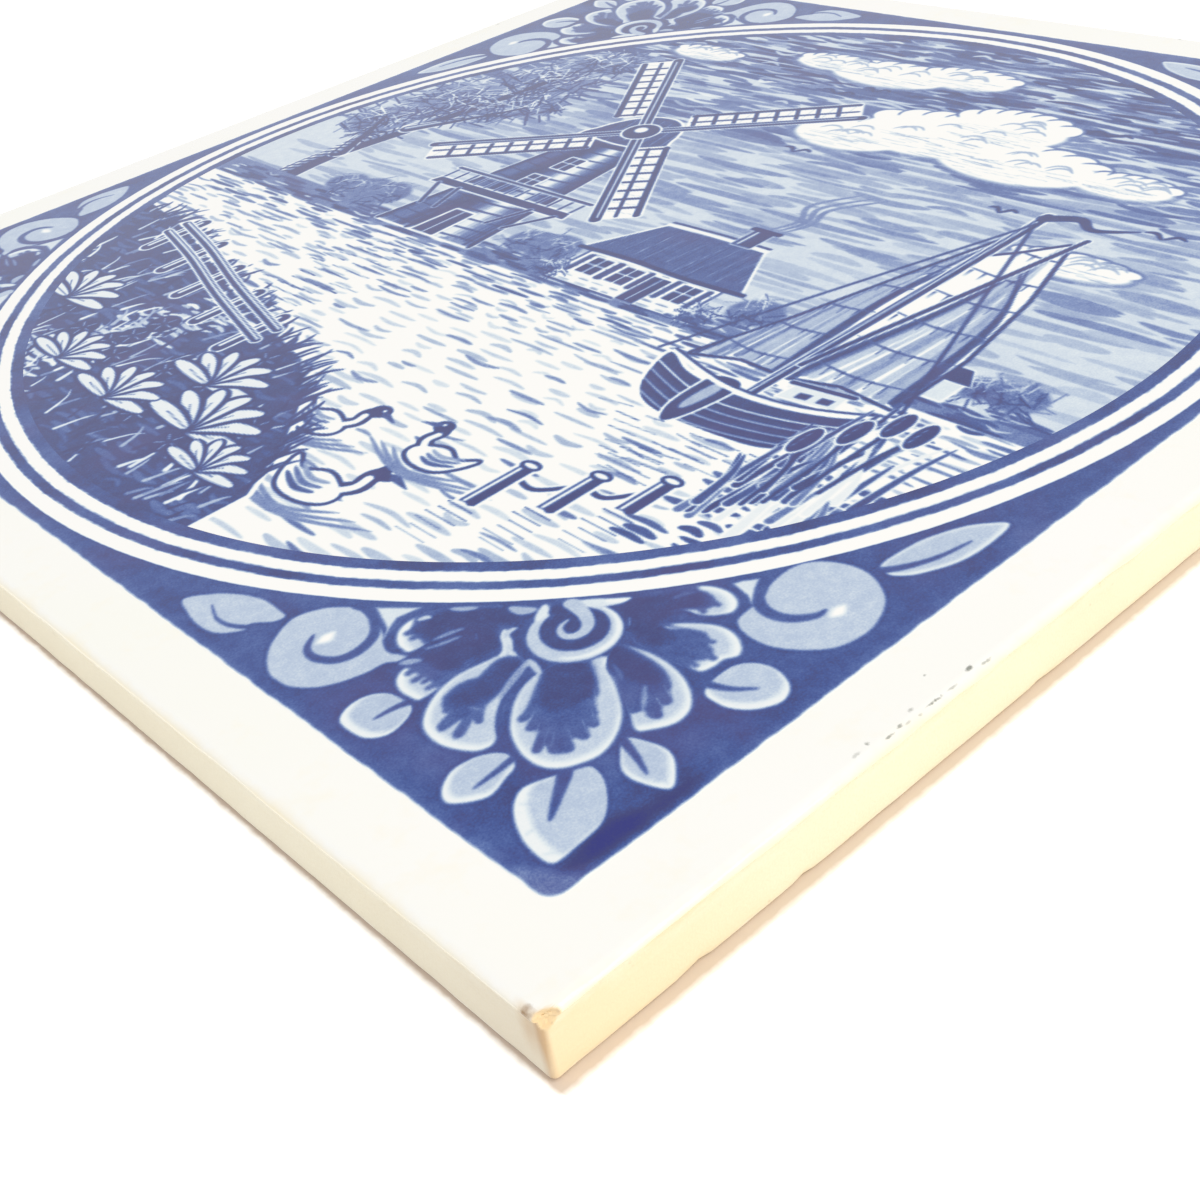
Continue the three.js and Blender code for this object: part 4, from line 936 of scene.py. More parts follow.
def slab(name, x, y, ink, cells, rim_low=None):
    """A thin closed layer on the glazed face from a grid of places, with the ink written on it."""
    count = x.shape[1]
    index = np.arange(x.size).reshape(x.shape)
    a, b = index[:-1, :-1][cells], index[:-1, 1:][cells]
    c, d = index[1:, 1:][cells], index[1:, :-1][cells]
    quads = np.stack([a, b, c, d], axis=1)
    turn = ((x.flat[b[0]] - x.flat[a[0]]) * (y.flat[c[0]] - y.flat[a[0]])
            - (y.flat[b[0]] - y.flat[a[0]]) * (x.flat[c[0]] - x.flat[a[0]]))
    if turn < 0:
        quads = quads[:, ::-1]
    used = np.unique(quads)
    new = np.full(x.size, -1)
    new[used] = np.arange(len(used))
    quads = new[quads]
    edges = np.concatenate([quads[:, [0, 1]], quads[:, [1, 2]], quads[:, [2, 3]], quads[:, [3, 0]]])
    total = len(used)
    forward = edges[:, 0] * total + edges[:, 1]
    backward = edges[:, 1] * total + edges[:, 0]
    rim = edges[~np.isin(forward, backward)]
    ahead = dict(rim.tolist())
    loop = [int(rim[0, 0])]
    while ahead[loop[-1]] != loop[0]:
        loop.append(ahead[loop[-1]])
    loop = np.array(loop)
    top = np.column_stack([x.flat[used], y.flat[used], np.full(total, PRINT_TOP)])
    if rim_low is not None:
        top[rim_low.flat[used], 2] = FACE + 0.004
    base_ring = top[loop].copy()
    base_ring[:, 2] = FACE
    under = total + np.arange(len(loop))
    walls = np.stack([np.roll(loop, -1), loop, under, np.roll(under, -1)], axis=1)
    places = np.vstack([top, base_ring])
    made = piece(name, places, quads.tolist() + walls.tolist() + [under[::-1].tolist()])
    write_on(made, "ink", np.concatenate([ink.flat[used], ink.flat[used][loop]]))
    corners = np.zeros(len(made.data.loops), np.int32)
    made.data.loops.foreach_get("vertex_index", corners)
    flat = places[:, :2]
    flat = (flat - flat.min(0)) / np.ptp(flat, axis=0).max()
    chart = flat[corners] * FACE_CHART
    chart[:, 1] += STRIP_CHART
    beside = slice(len(quads) * 4, None)
    chart[beside, 1] = flat[corners[beside], 1] * 0.02
    made.data.uv_layers.new(name="OFBake").data.foreach_set("uv", chart.astype(np.float32).ravel())
    return made


INK_FULL = 1.25
INK_STOPS = [
    (0.0, WHITE), (0.04, WHITE), (0.13, linear(222, 232, 238)), (0.23, linear(184, 200, 222)),
    (0.3, linear(163, 181, 210)), (0.45, linear(116, 139, 190)), (0.62, linear(72, 100, 166)),
    (0.8, linear(40, 70, 144)), (0.9, linear(38, 54, 122)), (1.0, linear(33, 42, 112)),
    (INK_FULL, linear(8, 22, 118)),
]
# Purple for pooled ink, and for the painted glare at the print's near tip.
PURPLE_INK_AND_GLARE = linear(78, 68, 132)

cobalt = Finish("cobalt_print", Roughness=0.12, IOR=1.5)
laid = cobalt.written("ink")
grain = cobalt.noise(5600, 2, 0.6)
mottle = cobalt.noise(950, 3, 0.55)
pooled = cobalt.noise(130, 2)
depth = laid.between(0.04, 0.5)
tone = laid + depth * ((grain - 0.5) * 0.34 + (mottle - 0.5) * 0.26 + (pooled - 0.5) * 0.12)
stops = [(place / INK_FULL, colour) for place, colour in INK_STOPS]
ink_colour = cobalt.node("ShaderNodeValToRGB", {"stops": stops}, {0: tone * (1 / INK_FULL)})
x, y, _ = cobalt.axes()
# The print's tip at the near corner is tinted purple as a painted glare; elsewhere the purple is pooled
# ink.
tip = 1 - (x + y + (pooled - 0.5) * 0.003).between(-0.1388, -0.1352)
purple_ink_and_glare = pooled.between(0.5, 0.68) * 0.4 + tip
purple_ink_and_glare = purple_ink_and_glare.between(0, 1) * laid.between(0.4, 0.7) * (1 - laid.between(1.0, 1.1))
ink_colour = cobalt.mix(purple_ink_and_glare * 0.7, ink_colour, PURPLE_INK_AND_GLARE)
relief = cobalt.noise(340, 2) + laid * 0.5 + grain * depth * 0.12
cobalt.use(Base_Color=ink_colour, Roughness=0.08 + laid * 0.05, Normal=cobalt.bump(relief, 0.00001, 0.5))

steps = round(PRINT_HALF / CORNER_STEP) + 1
grid_line = np.linspace(0, PRINT_HALF, steps)
p, q = np.meshgrid(grid_line, grid_line)
from_middle = np.hypot(p - PRINT_HALF, q - PRINT_HALF)
to_arc = np.hypot(PRINT_CORNER - p, PRINT_CORNER - q)
turned = (p < PRINT_CORNER) & (q < PRINT_CORNER)
past_arc = turned & (to_arc > PRINT_CORNER + 0.5 * CORNER_STEP)
inside = (from_middle > GROUND_RADIUS - 0.5 * CORNER_STEP) & ~past_arc
cells = inside[:-1, :-1] & inside[1:, :-1] & inside[:-1, 1:] & inside[1:, 1:]
kept = np.zeros(inside.shape, int)
for rows in (slice(None, -1), slice(1, None)):
    for columns in (slice(None, -1), slice(1, None)):
        kept[rows, columns] += cells
border = (kept > 0) & (kept < 4)
at_ring = border & (np.abs(from_middle - GROUND_RADIUS) < 2 * CORNER_STEP)
at_arc = border & turned & (to_arc > PRINT_CORNER - 1.5 * CORNER_STEP)
outer_rim = at_arc | (np.minimum(p, q) < 0.5 * CORNER_STEP)
drawn = np.where(at_ring, GROUND_RADIUS / np.maximum(from_middle, 1), 1)
p, q = (PRINT_HALF + (part - PRINT_HALF) * drawn for part in (p, q))
drawn = np.where(at_arc, PRINT_CORNER / np.maximum(to_arc, 0.1), 1)
p, q = (PRINT_CORNER + (part - PRINT_CORNER) * drawn for part in (p, q))
corner_ink = corner_art.at(p, q)
for corner in range(4):
    x, y = turned_round(p - PRINT_HALF, q - PRINT_HALF, corner)
    ornament = slab(f"print_corner_{corner + 1}", x, y, corner_ink, cells, outer_rim)
    ornament.data.materials.append(cobalt.material)
    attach(ornament, "root")
    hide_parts(f"corner_wash_{corner + 1}", f"corner_ground_{corner + 1}",
                f"corner_flower_{corner + 1}")

# Ring lines: two cobalt lines round the picture with white glaze between them, drawn on the transfer
# with a ruling pen, so that their edges waver by a hair and the ink pools along them.
FRAME_OUTER = node_reach("picture_frame_line")[0]
RING_OUTER = node_reach("ring_line")[0]
FRAME_LINE = (round(FRAME_OUTER - 1.25, 3), FRAME_OUTER)
RING_LINE = (RING_OUTER - 1, RING_OUTER)
PICTURE_RADIUS = FRAME_LINE[0]
RING_STEPS = 2200

angles = np.linspace(0, 2 * math.pi, RING_STEPS, endpoint=False)
radii = np.concatenate([np.arange(PICTURE_RADIUS, GROUND_RADIUS - 0.1, 0.17), [GROUND_RADIUS]])
around, out = np.meshgrid(angles, radii)
waver = 0.035 * np.sin(23 * around) + 0.03 * np.sin(71 * around + 1) + 0.025 * np.sin(190 * around + 2)
waver += 0.02 * np.sin(433 * around)
ring_ink = np.zeros(out.shape)
for low, high in (FRAME_LINE, RING_LINE):
    edge = high - out + waver
    if low > PICTURE_RADIUS:
        edge = np.minimum(out - low - 0.7 * waver, edge)
    pool = 0.8 + 0.06 * np.sin(12 * around + low) + 0.05 * np.sin(41 * around)
    ring_ink = np.maximum(ring_ink, (0.5 + edge / 0.2).clip(0, 1) * pool)
into_ground = (0.5 + (out - GROUND_RADIUS + 0.02 + 0.5 * waver) / 0.16).clip(0, 1)
ring_ink = np.maximum(ring_ink, into_ground * GROUND_TONE)


def ring_slab(name):
    """The flat ring, as a closed layer with an inner and an outer wall."""
    count, rows = RING_STEPS, len(radii)
    top = np.column_stack([(out * np.cos(around)).ravel(), (out * np.sin(around)).ravel(),
                           np.full(out.size, PRINT_TOP)])
    edge_rows = np.concatenate([np.arange(count), np.arange(count) + (rows - 1) * count])
    under = top[edge_rows].copy()
    under[:, 2] = FACE
    faces = []
    for row in range(rows - 1):
        faces += band((row + 1) * count, row * count, count)
    last, base_in, base_out = (rows - 1) * count, out.size, out.size + count
    faces += band(0, base_in, count) + band(base_out, last, count) + band(base_in, base_out, count)
    made = piece(name, np.vstack([top, under]), faces)
    write_on(made, "ink", np.concatenate([ring_ink.ravel(), ring_ink.ravel()[edge_rows]]))
    return made


print_rings = ring_slab("print_rings")
print_rings.data.materials.append(cobalt.material)
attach(print_rings, "root")
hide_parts("picture_frame_line", "ring_line")

# Picture: a landscape in the manner of old tiles, of a mill, a cottage and a barge on a canal, laid
# with the same transfer as the rest in pale wash, middle blue and deep cobalt.
PICTURE_STEPS = 308

art = Canvas(-64.0, 64.0, 0.1)
draw = np.random.default_rng(11)


def between(low, high):
    """A number drawn at random."""
    return draw.uniform(low, high)


def oval(x, y, across, up, count=12):
    """An oval's outline, from its middle and its two half widths."""
    angle = np.arange(count) / count * 2 * math.pi
    return np.column_stack([x + across * np.cos(angle), y + up * np.sin(angle)])


def strokes(low, high, rows, reach, width, tones, wave=0.0, strength=0.85, apart=(0.1, 0.7)):
    """Level brush strokes strewn over a stretch of the picture, a few to each row."""
    for y in np.linspace(low[1], high[1], rows):
        x = low[0] + between(0, reach[1])
        while x < high[0]:
            length = between(*reach)
            rise = between(-wave, wave)
            art.brush([(x, y + rise), (x + length / 2, y + between(-wave, wave)), (x + length, y + rise)],
                      between(*width), between(*tones), strength=strength)
            x += length + between(*apart) * reach[1]


def hatch(outline, low, high, gap, slope, width, tones, smooth=False):
    """Upright or slanting strokes inside an outline."""
    art.keep_within(outline, smooth)
    x = low[0] - abs(slope) * (high[1] - low[1])
    while x < high[0] + abs(slope) * (high[1] - low[1]):
        start = between(0, 0.25) * (high[1] - low[1])
        stop = high[1] - between(0, 0.25) * (high[1] - low[1]) - low[1]
        ends = [(x + slope * start, low[1] + start), (x + slope * stop + between(-0.2, 0.2), low[1] + stop)]
        art.brush(ends, between(*width), between(*tones), strength=0.9)
        x += gap * between(0.6, 1.4)
    art.keep_within(None)


def leaves(x, y, across, up, count, size, tones, fat=0.75):
    """Dabs of the brush that stand for leaves, thickest in the middle of their oval."""
    for _ in range(count):
        angle, out = between(0, 2 * math.pi), between(0, 1) ** 0.6
        px, py = x + across * out * math.cos(angle), y + up * out * math.sin(angle)
        lean, long = between(-math.pi, math.pi), between(*size)
        art.brush(pull(px, py, long, lean), long * fat, between(*tones), "leaf", 0.2)


def blade(x, y, tall, lean):
    """A blade of grass, from its foot."""
    return [(x, y), (x + lean * tall * 0.5, y + tall * 0.7), (x + lean * tall, y + tall)]


def edged(points, width, tone, form="line", edge=0.3, light=0.04):
    """A stroke that keeps a white edge on both sides, so that it stands clear of what lies behind."""
    art.brush(points, width + 2 * edge, light, form)
    art.brush(points, width, tone, form)


def panel(points, tone, edge=0.3, light=0.04):
    """A straight-sided shape inside a white edge."""
    art.fill(points, light, grow=edge, smooth=False)
    art.fill(points, tone, smooth=False)


# Sky, with level pulls of the brush that thicken upwards, and heaped clouds left white.
art.ink[:] = 0.17
strokes((-64, -9), (64, 30), 34, (5, 18), (0.6, 1.5), (0.24, 0.42), 0.4)
strokes((-64, 6), (64, 64), 50, (5, 17), (0.6, 1.5), (0.34, 0.56), 0.4)
strokes((-64, 26), (64, 64), 42, (4, 16), (0.6, 1.5), (0.52, 0.8), 0.5)
strokes((-64, 42), (64, 64), 28, (4, 14), (0.6, 1.3), (0.8, 1.0), 0.5)
strokes((-64, 30), (64, 64), 30, (2, 8), (0.4, 0.8), (0.06, 0.3), 0.5, 0.85, (0.5, 3))
CLOUDS = [
    (14, 36, 11, 6), (27, 33, 10, 5), (5, 32, 8, 4.4), (20, 41, 8, 5), (-4, 50, 9, 4), (6, 52.5, 7, 3.4),
    (-14, 51, 6, 2.8), (40, 33, 6, 3), (46, 15, 7, 2.6), (-33, 47, 6, 2.6),
]
for x, y, across, up in CLOUDS:
    art.fill(oval(x, y, across + 0.5, up + 0.5), 0.55, soft=0.5, strength=0.7)
for x, y, across, up in CLOUDS:
    for place in np.linspace(-0.78, 0.78, 7):
        px, py = x + across * place, y + up * math.sqrt(1 - place ** 2) - 0.6
        art.fill(oval(px, py, across * 0.22, up * 0.3), 0.6, grow=0.35, soft=0.3)
        art.fill(oval(px, py, across * 0.22, up * 0.3), 0.01, soft=0.3)
for x, y, across, up in CLOUDS:
    art.fill(oval(x, y, across - 0.4, up - 0.3), 0.01, soft=1.0)
for x, y, across, up in CLOUDS:
    for _ in range(int(across * 3.4)):
        px, py = x + between(-0.8, 0.5) * across, y - up * between(0.0, 0.85)
        art.brush([(px, py), (px + between(1.5, 4.5), py + between(-0.3, 0.3))], between(0.4, 1.1),
                  between(0.16, 0.45), strength=0.85)
    for _ in range(6):
        px, py = x + between(-0.7, 0.4) * across, y + between(-0.1, 0.5) * up
        art.brush([(px, py), (px + 0.8, py + 1.1), (px + 2, py + 1.3), (px + 3, py + 0.6)], 0.45, 0.3)
BIRDS = [
    (-6, 42, 2.6), (-2, 44.5, 2), (31, 44, 2.6), (50, 24, 2.2), (2.5, 25, 2), (35, 47, 2), (33, 22, 1.7),
]
for x, y, span in BIRDS:
    art.brush([(x - span, y + 0.9), (x - span / 2, y + 1.1), (x, y)], 0.55, 0.95)
    art.brush([(x, y), (x + span / 2, y + 1.2), (x + span, y + 0.8)], 0.55, 0.95)

# Tree: an old oak at the left whose crown reaches the picture's edge, leaf by leaf, before the mill.
BRANCHES = [
    ([(-52, -28), (-50.4, -16), (-51.2, -4), (-49, 8), (-46.5, 20), (-45, 34)], 5.0),
    ([(-50.6, -2), (-53.4, 4), (-56.5, 10)], 2.4), ([(-49, 8), (-44, 15), (-39.5, 21.5)], 2.2),
]
CROWN = [
    (-55.4, 8.6, 6, 5), (-49.5, 19, 10, 7), (-40.6, 21.6, 5.6, 4.6), (-46, 29.6, 8, 5.8),
    (-43.4, 38, 5.6, 4.6),
]
for x, y, across, up in CROWN:
    art.fill(oval(x, y, across * 0.9, up * 0.9), 0.5, soft=2.0)
    leaves(x, y, across * 1.1, up * 1.1, int(across * up * 2.2), (2.2, 3.8), (0.5, 0.8))
for line, width in BRANCHES:
    art.brush(line, width + 0.7, 0.04, "comet")
    art.brush(line, width, 0.97, "comet")
    art.brush(np.array(line) - (width * 0.2, 0), width * 0.35, 0.4, "comet")
    art.brush(np.array(line) - (width * 0.3, 0), width * 0.12, 0.06, "comet")
for step in range(26):
    y = -27 + 1.25 * step
    art.brush([(-53.2, y), (-51.4, y + 1.5), (-50, y + 0.9)], 0.4, 1.0)
for x, y, across, up in CROWN:
    area = across * up
    leaves(x + 0.8, y - up * 0.3, across * 0.85, up * 0.75, int(area * 1.4), (2.0, 3.4), (0.9, 1.0))
    leaves(x - 0.8, y + up * 0.35, across * 0.8, up * 0.65, int(area * 1.0), (2.0, 3.4), (0.02, 0.2), 0.6)
    leaves(x, y, across * 1.2, up * 1.2, int(area * 0.6), (2.0, 3.2), (0.7, 1.0))

# Water: white, with short pale ripples that grow longer and wider towards the viewer.
art.fill([(-70, -13), (70, -13), (70, -70), (-70, -70)], 0.03, soft=0.3, smooth=False)
for row in range(34):
    near = row / 33
    y = -15 - 1.36 * row
    strokes((-62, y), (62, y), 1, (1.4 + 2 * near, 4 + 4 * near), (0.35 + 0.2 * near, 0.6 + 0.5 * near),
            (0.16, 0.34), 0.3, 0.9, (0.2, 1.0))
strokes((-62, -24), (62, -14), 12, (2, 7), (0.3, 0.55), (0.4, 0.65), 0.2, 0.85, (0.3, 1.4))
strokes((-30, -58), (60, -27), 16, (2, 6), (0.35, 0.7), (0.45, 0.7), 0.3, 0.9, (0.8, 4))

# Far shore: meadows, round trees and a low row of roofs, with their broken reflections.
art.fill([(-64, -13.8), (-64, -9.4), (-40, -10), (-6, -10.4), (27, -11), (64, -11.8), (64, -13.8)], 0.55,
         soft=0.3, smooth=False)
strokes((-62, -13.5), (60, -10.6), 6, (3, 8), (0.4, 0.8), (0.75, 1.0), 0.2)
strokes((-62, -12.9), (60, -11), 3, (1, 4), (0.25, 0.4), (0.03, 0.2), 0.3, 0.9, (0.5, 3))
for x in (-40.5, -36, -33, -5.5, -2, 27.5, 53.5, 57):
    size = between(2.2, 3.8)
    art.fill(oval(x, -9.2 + size * 0.5, size, size * 0.85), 0.6, soft=0.8)
    leaves(x, -9.2 + size * 0.5, size, size * 0.85, 26, (1.4, 2.4), (0.45, 0.7))
    leaves(x + 0.5, -9.8 + size * 0.4, size * 0.85, size * 0.6, 16, (1.3, 2.2), (0.88, 1.0))
    leaves(x - 0.6, -8.8 + size * 0.8, size * 0.6, size * 0.4, 9, (1.1, 1.9), (0.04, 0.25))
for left, wide, tall in ((44, 4.4, 2.4), (48.8, 3.2, 3.2)):
    panel([(left, -11.6), (left + wide, -11.6), (left + wide, -11.6 + tall), (left, -11.6 + tall)], 0.14)
    panel([(left - 0.6, -11.6 + tall), (left + wide + 0.6, -11.6 + tall), (left + wide - 0.8, -9.2 + tall),
           (left + 0.8, -9.2 + tall)], 0.95, 0.2)
strokes((-60, -17.8), (60, -14.2), 6, (2, 6), (0.3, 0.6), (0.6, 0.95), 0.15, 0.9, (0.4, 1.4))


# Cottage: a thatched roof over a pale wall, with a chimney that smokes.
def frame_window(x, y, wide, tall, bars=1):
    """A window: a pale frame round dark panes."""
    panel([(x, y), (x + wide, y), (x + wide, y + tall), (x, y + tall)], 0.97, 0.35)
    for bar in range(bars):
        px = x + wide * (bar + 1) / (bars + 1)
        art.rule([(px, y), (px, y + tall)], 0.25, 0.05)
    art.rule([(x, y + tall * 0.55), (x + wide, y + tall * 0.55)], 0.25, 0.05)


WALL = [(2.5, -12.6), (21.5, -12.6), (21.5, -4.8), (2.5, -4.8)]
ROOF = [(0.8, -5.5), (23.4, -5.5), (18.6, 3), (5.2, 3)]
art.fill(WALL, 0.95, grow=0.25, smooth=False)
art.fill(WALL, 0.05, smooth=False)
for y in np.arange(-12.2, -5, 0.95):
    strokes((2.8, y), (20.6, y), 1, (0.9, 2), (0.18, 0.3), (0.35, 0.6), 0, 0.85, (0.2, 0.8))
panel(ROOF, 0.75, 0.35)
hatch(ROOF, (0.8, -5.5), (23.4, 3), 0.6, 0.0, (0.4, 0.7), (0.9, 1.0))
hatch(ROOF, (0.8, -5.5), (23.4, 3), 2.0, 0.1, (0.25, 0.45), (0.06, 0.35))
art.brush([(0.4, -5.7), (8, -5.4), (16, -5.8), (23.8, -5.6)], 0.75, 1.0, "line")
art.brush([(5, 3.1), (12, 3.3), (18.8, 3.1)], 0.8, 0.06, "line")
art.brush([(5, 3.7), (12, 3.9), (18.8, 3.7)], 0.35, 0.98, "line")
panel([(14.2, 2.8), (16.8, 2.8), (16.8, 6.6), (14.2, 6.6)], 0.92, 0.2)
art.rule([(13.8, 6.8), (17.2, 6.8)], 0.8, 1.0)
art.rule([(14.8, 3.2), (14.8, 6.2)], 0.4, 0.12)
for shift in (0, 0.9, 1.7):
    smoke = [(15.4 + shift, 7.4), (16.6 + shift, 10.6), (14.9 + 1.6 * shift, 14.2), (18 + shift * 2, 19)]
    art.brush(smoke, 0.7, 0.5)
for left in (4.4, 9.0, 17.2):
    for px in (left - 0.95, left + 3.45):
        art.rule([(px, -10.2), (px, -6.8)], 0.75, 0.85)
    frame_window(left, -10.2, 2.5, 3.4)
panel([(13.1, -12.6), (15.5, -12.6), (15.5, -7), (13.1, -7)], 0.97, 0.2)
art.rule([(14.3, -7.2), (14.3, -12.2)], 0.25, 0.2)
for x in (1.5, 22.8):
    leaves(x, -10.9, 2.6, 2.0, 70, (0.9, 1.7), (0.7, 1.0))
    leaves(x - 0.5, -10.2, 1.9, 1.3, 18, (0.8, 1.4), (0.04, 0.25))

# Mill: a boarded smock tower with a gallery, a thatched cap and four lattice sails.
MILL_X = -19
MILL_FOOT = -12.4
TOWER = [(-27.5, MILL_FOOT), (-10.5, MILL_FOOT), (-14.2, 17.5), (-23.8, 17.5)]
CAP = [
    (-25, 16.8), (-24.9, 20.4), (-23.2, 23.9), (-20.6, 25.9), (-17.4, 26.1), (-14.8, 24.2),
    (-13.2, 20.8), (-12.8, 16.8),
]
HUB = np.array([MILL_X, 21.5])
SAIL_LENGTH = 26.0
SAIL_TURN = 0.62
panel(TOWER, 0.5, 0.5)


def board(share):
    """Where a board of the tower stands and where it ends, at a share of the way across."""
    return -27.5 + 17 * share, -23.8 + 9.6 * share


for share in np.linspace(0.02, 0.98, 25):
    low, high = board(share)
    lit, edge_lit = math.exp(-((share - 0.68) / 0.15) ** 2), math.exp(-((share - 0.12) / 0.1) ** 2)
    art.brush([(low + between(-0.1, 0.1), -12.2 + between(0, 1)), (high, 17.2)], between(0.45, 0.8),
              1.0 - 0.95 * lit - 0.3 * edge_lit, "line", strength=0.9, smooth=False)
for y in np.arange(-11, 17, 2.1):
    half = 8.5 - 3.7 * (y - MILL_FOOT) / 29.9
    art.brush([(MILL_X - half, y), (MILL_X, y - 0.5), (MILL_X + half, y)], 0.32, 0.97)
    art.brush([(MILL_X + half * 0.1, y - 0.05), (MILL_X + half * 0.6, y + 0.2)], 0.3, 0.04)
for share in (0.0, 0.33, 1.0):
    low, high = board(share)
    art.rule([(low, MILL_FOOT), (high, 17.3)], 0.55, 1.0)
frame_window(-20.3, 8, 2.4, 3.4)
frame_window(-20.6, 2.8, 2.6, 2.8)
panel([(-20.8, MILL_FOOT), (-17.2, MILL_FOOT), (-17.5, -6.2), (-20.5, -6.2)], 0.97, 0.45)
art.rule([(MILL_X, -12.2), (MILL_X, -6.4)], 0.3, 0.12)
art.fill(CAP, 0.04, grow=0.45)
art.fill(CAP, 0.85)
hatch(CAP, (-25.5, 16.8), (-12.6, 26.2), 0.8, 0.1, (0.4, 0.7), (0.92, 1.0), True)
hatch(CAP, (-19, 16.8), (-12.6, 26.2), 1.3, -0.2, (0.35, 0.6), (0.04, 0.2), True)
art.brush([(-25.8, 16.6), (-19, 16), (-12.2, 16.6)], 0.9, 1.0, "line")
art.brush([(-25.4, 17.6), (-19, 17), (-12.6, 17.6)], 0.45, 0.05, "line")
panel([(-31, -1.9), (-7, -1.9), (-7.4, -0.5), (-30.6, -0.5)], 0.97, 0.35)
for x in np.arange(-30.4, -7, 1.9):
    edged([(x, -0.2), (x, 2.4)], 0.35, 0.95, edge=0.15)
edged([(-30.8, 2.5), (-7, 2.5)], 0.5, 0.97, edge=0.25)
for x in (-29.5, -25.6, -12.4, -8.4):
    edged([(x, -1.9), (MILL_X + (x - MILL_X) * 0.72, -7)], 0.55, 0.97, edge=0.15)


def sail(turn):
    """A stock, and beside it a lattice of bars with the cloth rolled at its edge."""
    along, beside = np.array(pull(0, 0, 1, turn)[1]), np.array(pull(0, 0, 1, turn + math.pi / 2)[1])

    def spot(far, out):
        return HUB + along * far + beside * out

    cloth = [spot(6, 0.4), spot(SAIL_LENGTH, 0.4), spot(SAIL_LENGTH, 4.6), spot(6, 4.2)]
    art.fill(cloth, 0.03, grow=0.6, smooth=False)
    for far in np.arange(6.2, SAIL_LENGTH, 2.5):
        art.rule([spot(far, 0), spot(far, 4.5)], 0.5, 1.0)
        art.brush([spot(far + 0.6, 0.9), spot(far + 1.9, 3.9)], 0.4, 0.35)
    for out, thick in ((2.2, 0.42), (4.5, 0.75)):
        art.rule([spot(6, out * 0.95), spot(SAIL_LENGTH, out)], thick, 1.0)
    edged([spot(-1.5, 0), spot(SAIL_LENGTH + 0.6, 0)], 1.3, 1.0, edge=0.25)
    art.rule([spot(1, 0.1), spot(SAIL_LENGTH, 0.12)], 0.3, 0.15)


for index in range(4):
    sail(SAIL_TURN + index * math.pi / 2)
art.fill(oval(HUB[0], HUB[1], 2.3, 2.3), 0.04, grow=0.35)
art.fill(oval(HUB[0], HUB[1], 2.3, 2.3), 1.0)
art.fill(oval(HUB[0] - 0.4, HUB[1] + 0.4, 0.9, 0.9), 0.05, soft=0.4)
for row, y in enumerate(np.arange(-15, -36, -1.4)):
    half = 7.5 - 0.25 * row
    for _ in range(4):
        x = MILL_X + between(-half, half * 0.4)
        ripple = [(x, y + between(-0.3, 0.3)), (x + between(2, 5.5), y)]
        art.brush(ripple, between(0.5, 0.95), between(0.6, 1.0))

# Barge: a broad hull with leeboards, a sprit mast, two sails with folds, and a pennant.
HULL = [(26.3, -17.6), (30, -19.4), (35, -20.2), (41, -20), (46.5, -18.6), (50.8, -16.4), (50.2, -19.6),
        (48.2, -23), (45, -25.4), (41, -26), (33.5, -26), (29.6, -24.6), (27.4, -21.6)]
MAIN = [
    (37.9, -15.5), (43.5, -14.0), (49.6, -14.8), (49.4, -5), (47.2, 7), (43.6, 18.8), (40.6, 15.2),
    (37.9, 12.6),
]
JIB = [(37.4, 17.2), (34.4, 6), (31.4, -6), (28.0, -16.6), (32.8, -15), (37.4, -15.2)]
for outline, top_x, bend in ((MAIN, 43.2, 0.6), (JIB, 37.2, -0.6)):
    shape = np.array(outline)
    art.fill(shape, 1.0, grow=0.45, smooth=False)
    art.fill(shape, 0.03, smooth=False)
    art.keep_within(shape)
    low, high = shape.min(0), shape.max(0)
    for share in (0.02, 0.07, 0.13, 0.2, 0.3, 0.42, 0.5, 0.58, 0.7, 0.8, 0.88, 0.94, 0.99):
        foot_x = low[0] + share * (high[0] - low[0])
        tone = 0.95 if share < 0.1 or share > 0.9 else between(0.22, 0.6)
        half_way = ((foot_x + top_x) / 2 + bend * 2, (low[1] + high[1]) / 2)
        fold = [(foot_x, low[1] + between(0, 2)), half_way, (top_x, high[1] - between(0, 9))]
        art.brush(fold, between(0.5, 1.2), tone, "comet", strength=0.9)
    for y in np.arange(low[1] + 4, high[1] - 2, 5.5):
        art.brush([(low[0], y), ((low[0] + high[0]) / 2, y - 0.8), (high[0], y)], 0.3, 0.75)
        for x in np.arange(low[0] + 1, high[0], 1.6):
            art.brush([(x, y - 0.6), (x + 0.1, y - 2)], 0.25, 0.85, "comet")
    art.keep_within(None)
edged([(37.7, -21), (37.8, 23.6)], 1.1, 1.0)
art.rule([(37.5, -19), (37.6, 22)], 0.28, 0.1)
edged([(38, -13), (44.4, 20.5)], 0.6, 1.0, edge=0.2)
art.brush([(37.8, 23), (41, 24.4), (43.4, 22.8), (47.4, 24.6)], 1.6, 0.95, "comet")
for foot_x in (24.6, 51.6):
    art.brush([(37.8, 21.5), (foot_x, -17.4)], 0.36, 0.95, "line", 0.34, smooth=False)
art.fill(HULL, 0.03, grow=0.5)
art.fill(HULL, 0.92)
art.keep_within(HULL, True)
for shift in (1.4, 2.7, 4.0, 5.3):
    plank = [(26, -17.8 - shift), (35, -20.6 - shift), (44, -19.6 - shift), (51, -16.8 - shift)]
    art.brush(plank, 0.3, 0.1 if shift < 2 else 0.35, "line")
    art.brush(np.array(plank) - (0, 0.35), 0.35, 1.0, "line")
art.keep_within(None)
LEEBOARD = [(33.2, -18.6), (36.2, -18.9), (35.8, -24.4), (34.6, -26.9), (33.2, -24.8), (32.8, -21.4)]
art.fill(LEEBOARD, 0.04, grow=0.35)
art.fill(LEEBOARD, 0.98)
art.fill([(33.9, -20), (35.2, -20.2), (35, -23.4), (34.4, -24.6), (33.8, -23.4)], 0.3, soft=0.4)
panel([(40, -18.4), (45.6, -17.6), (45.4, -15.4), (40.2, -16)], 0.12)
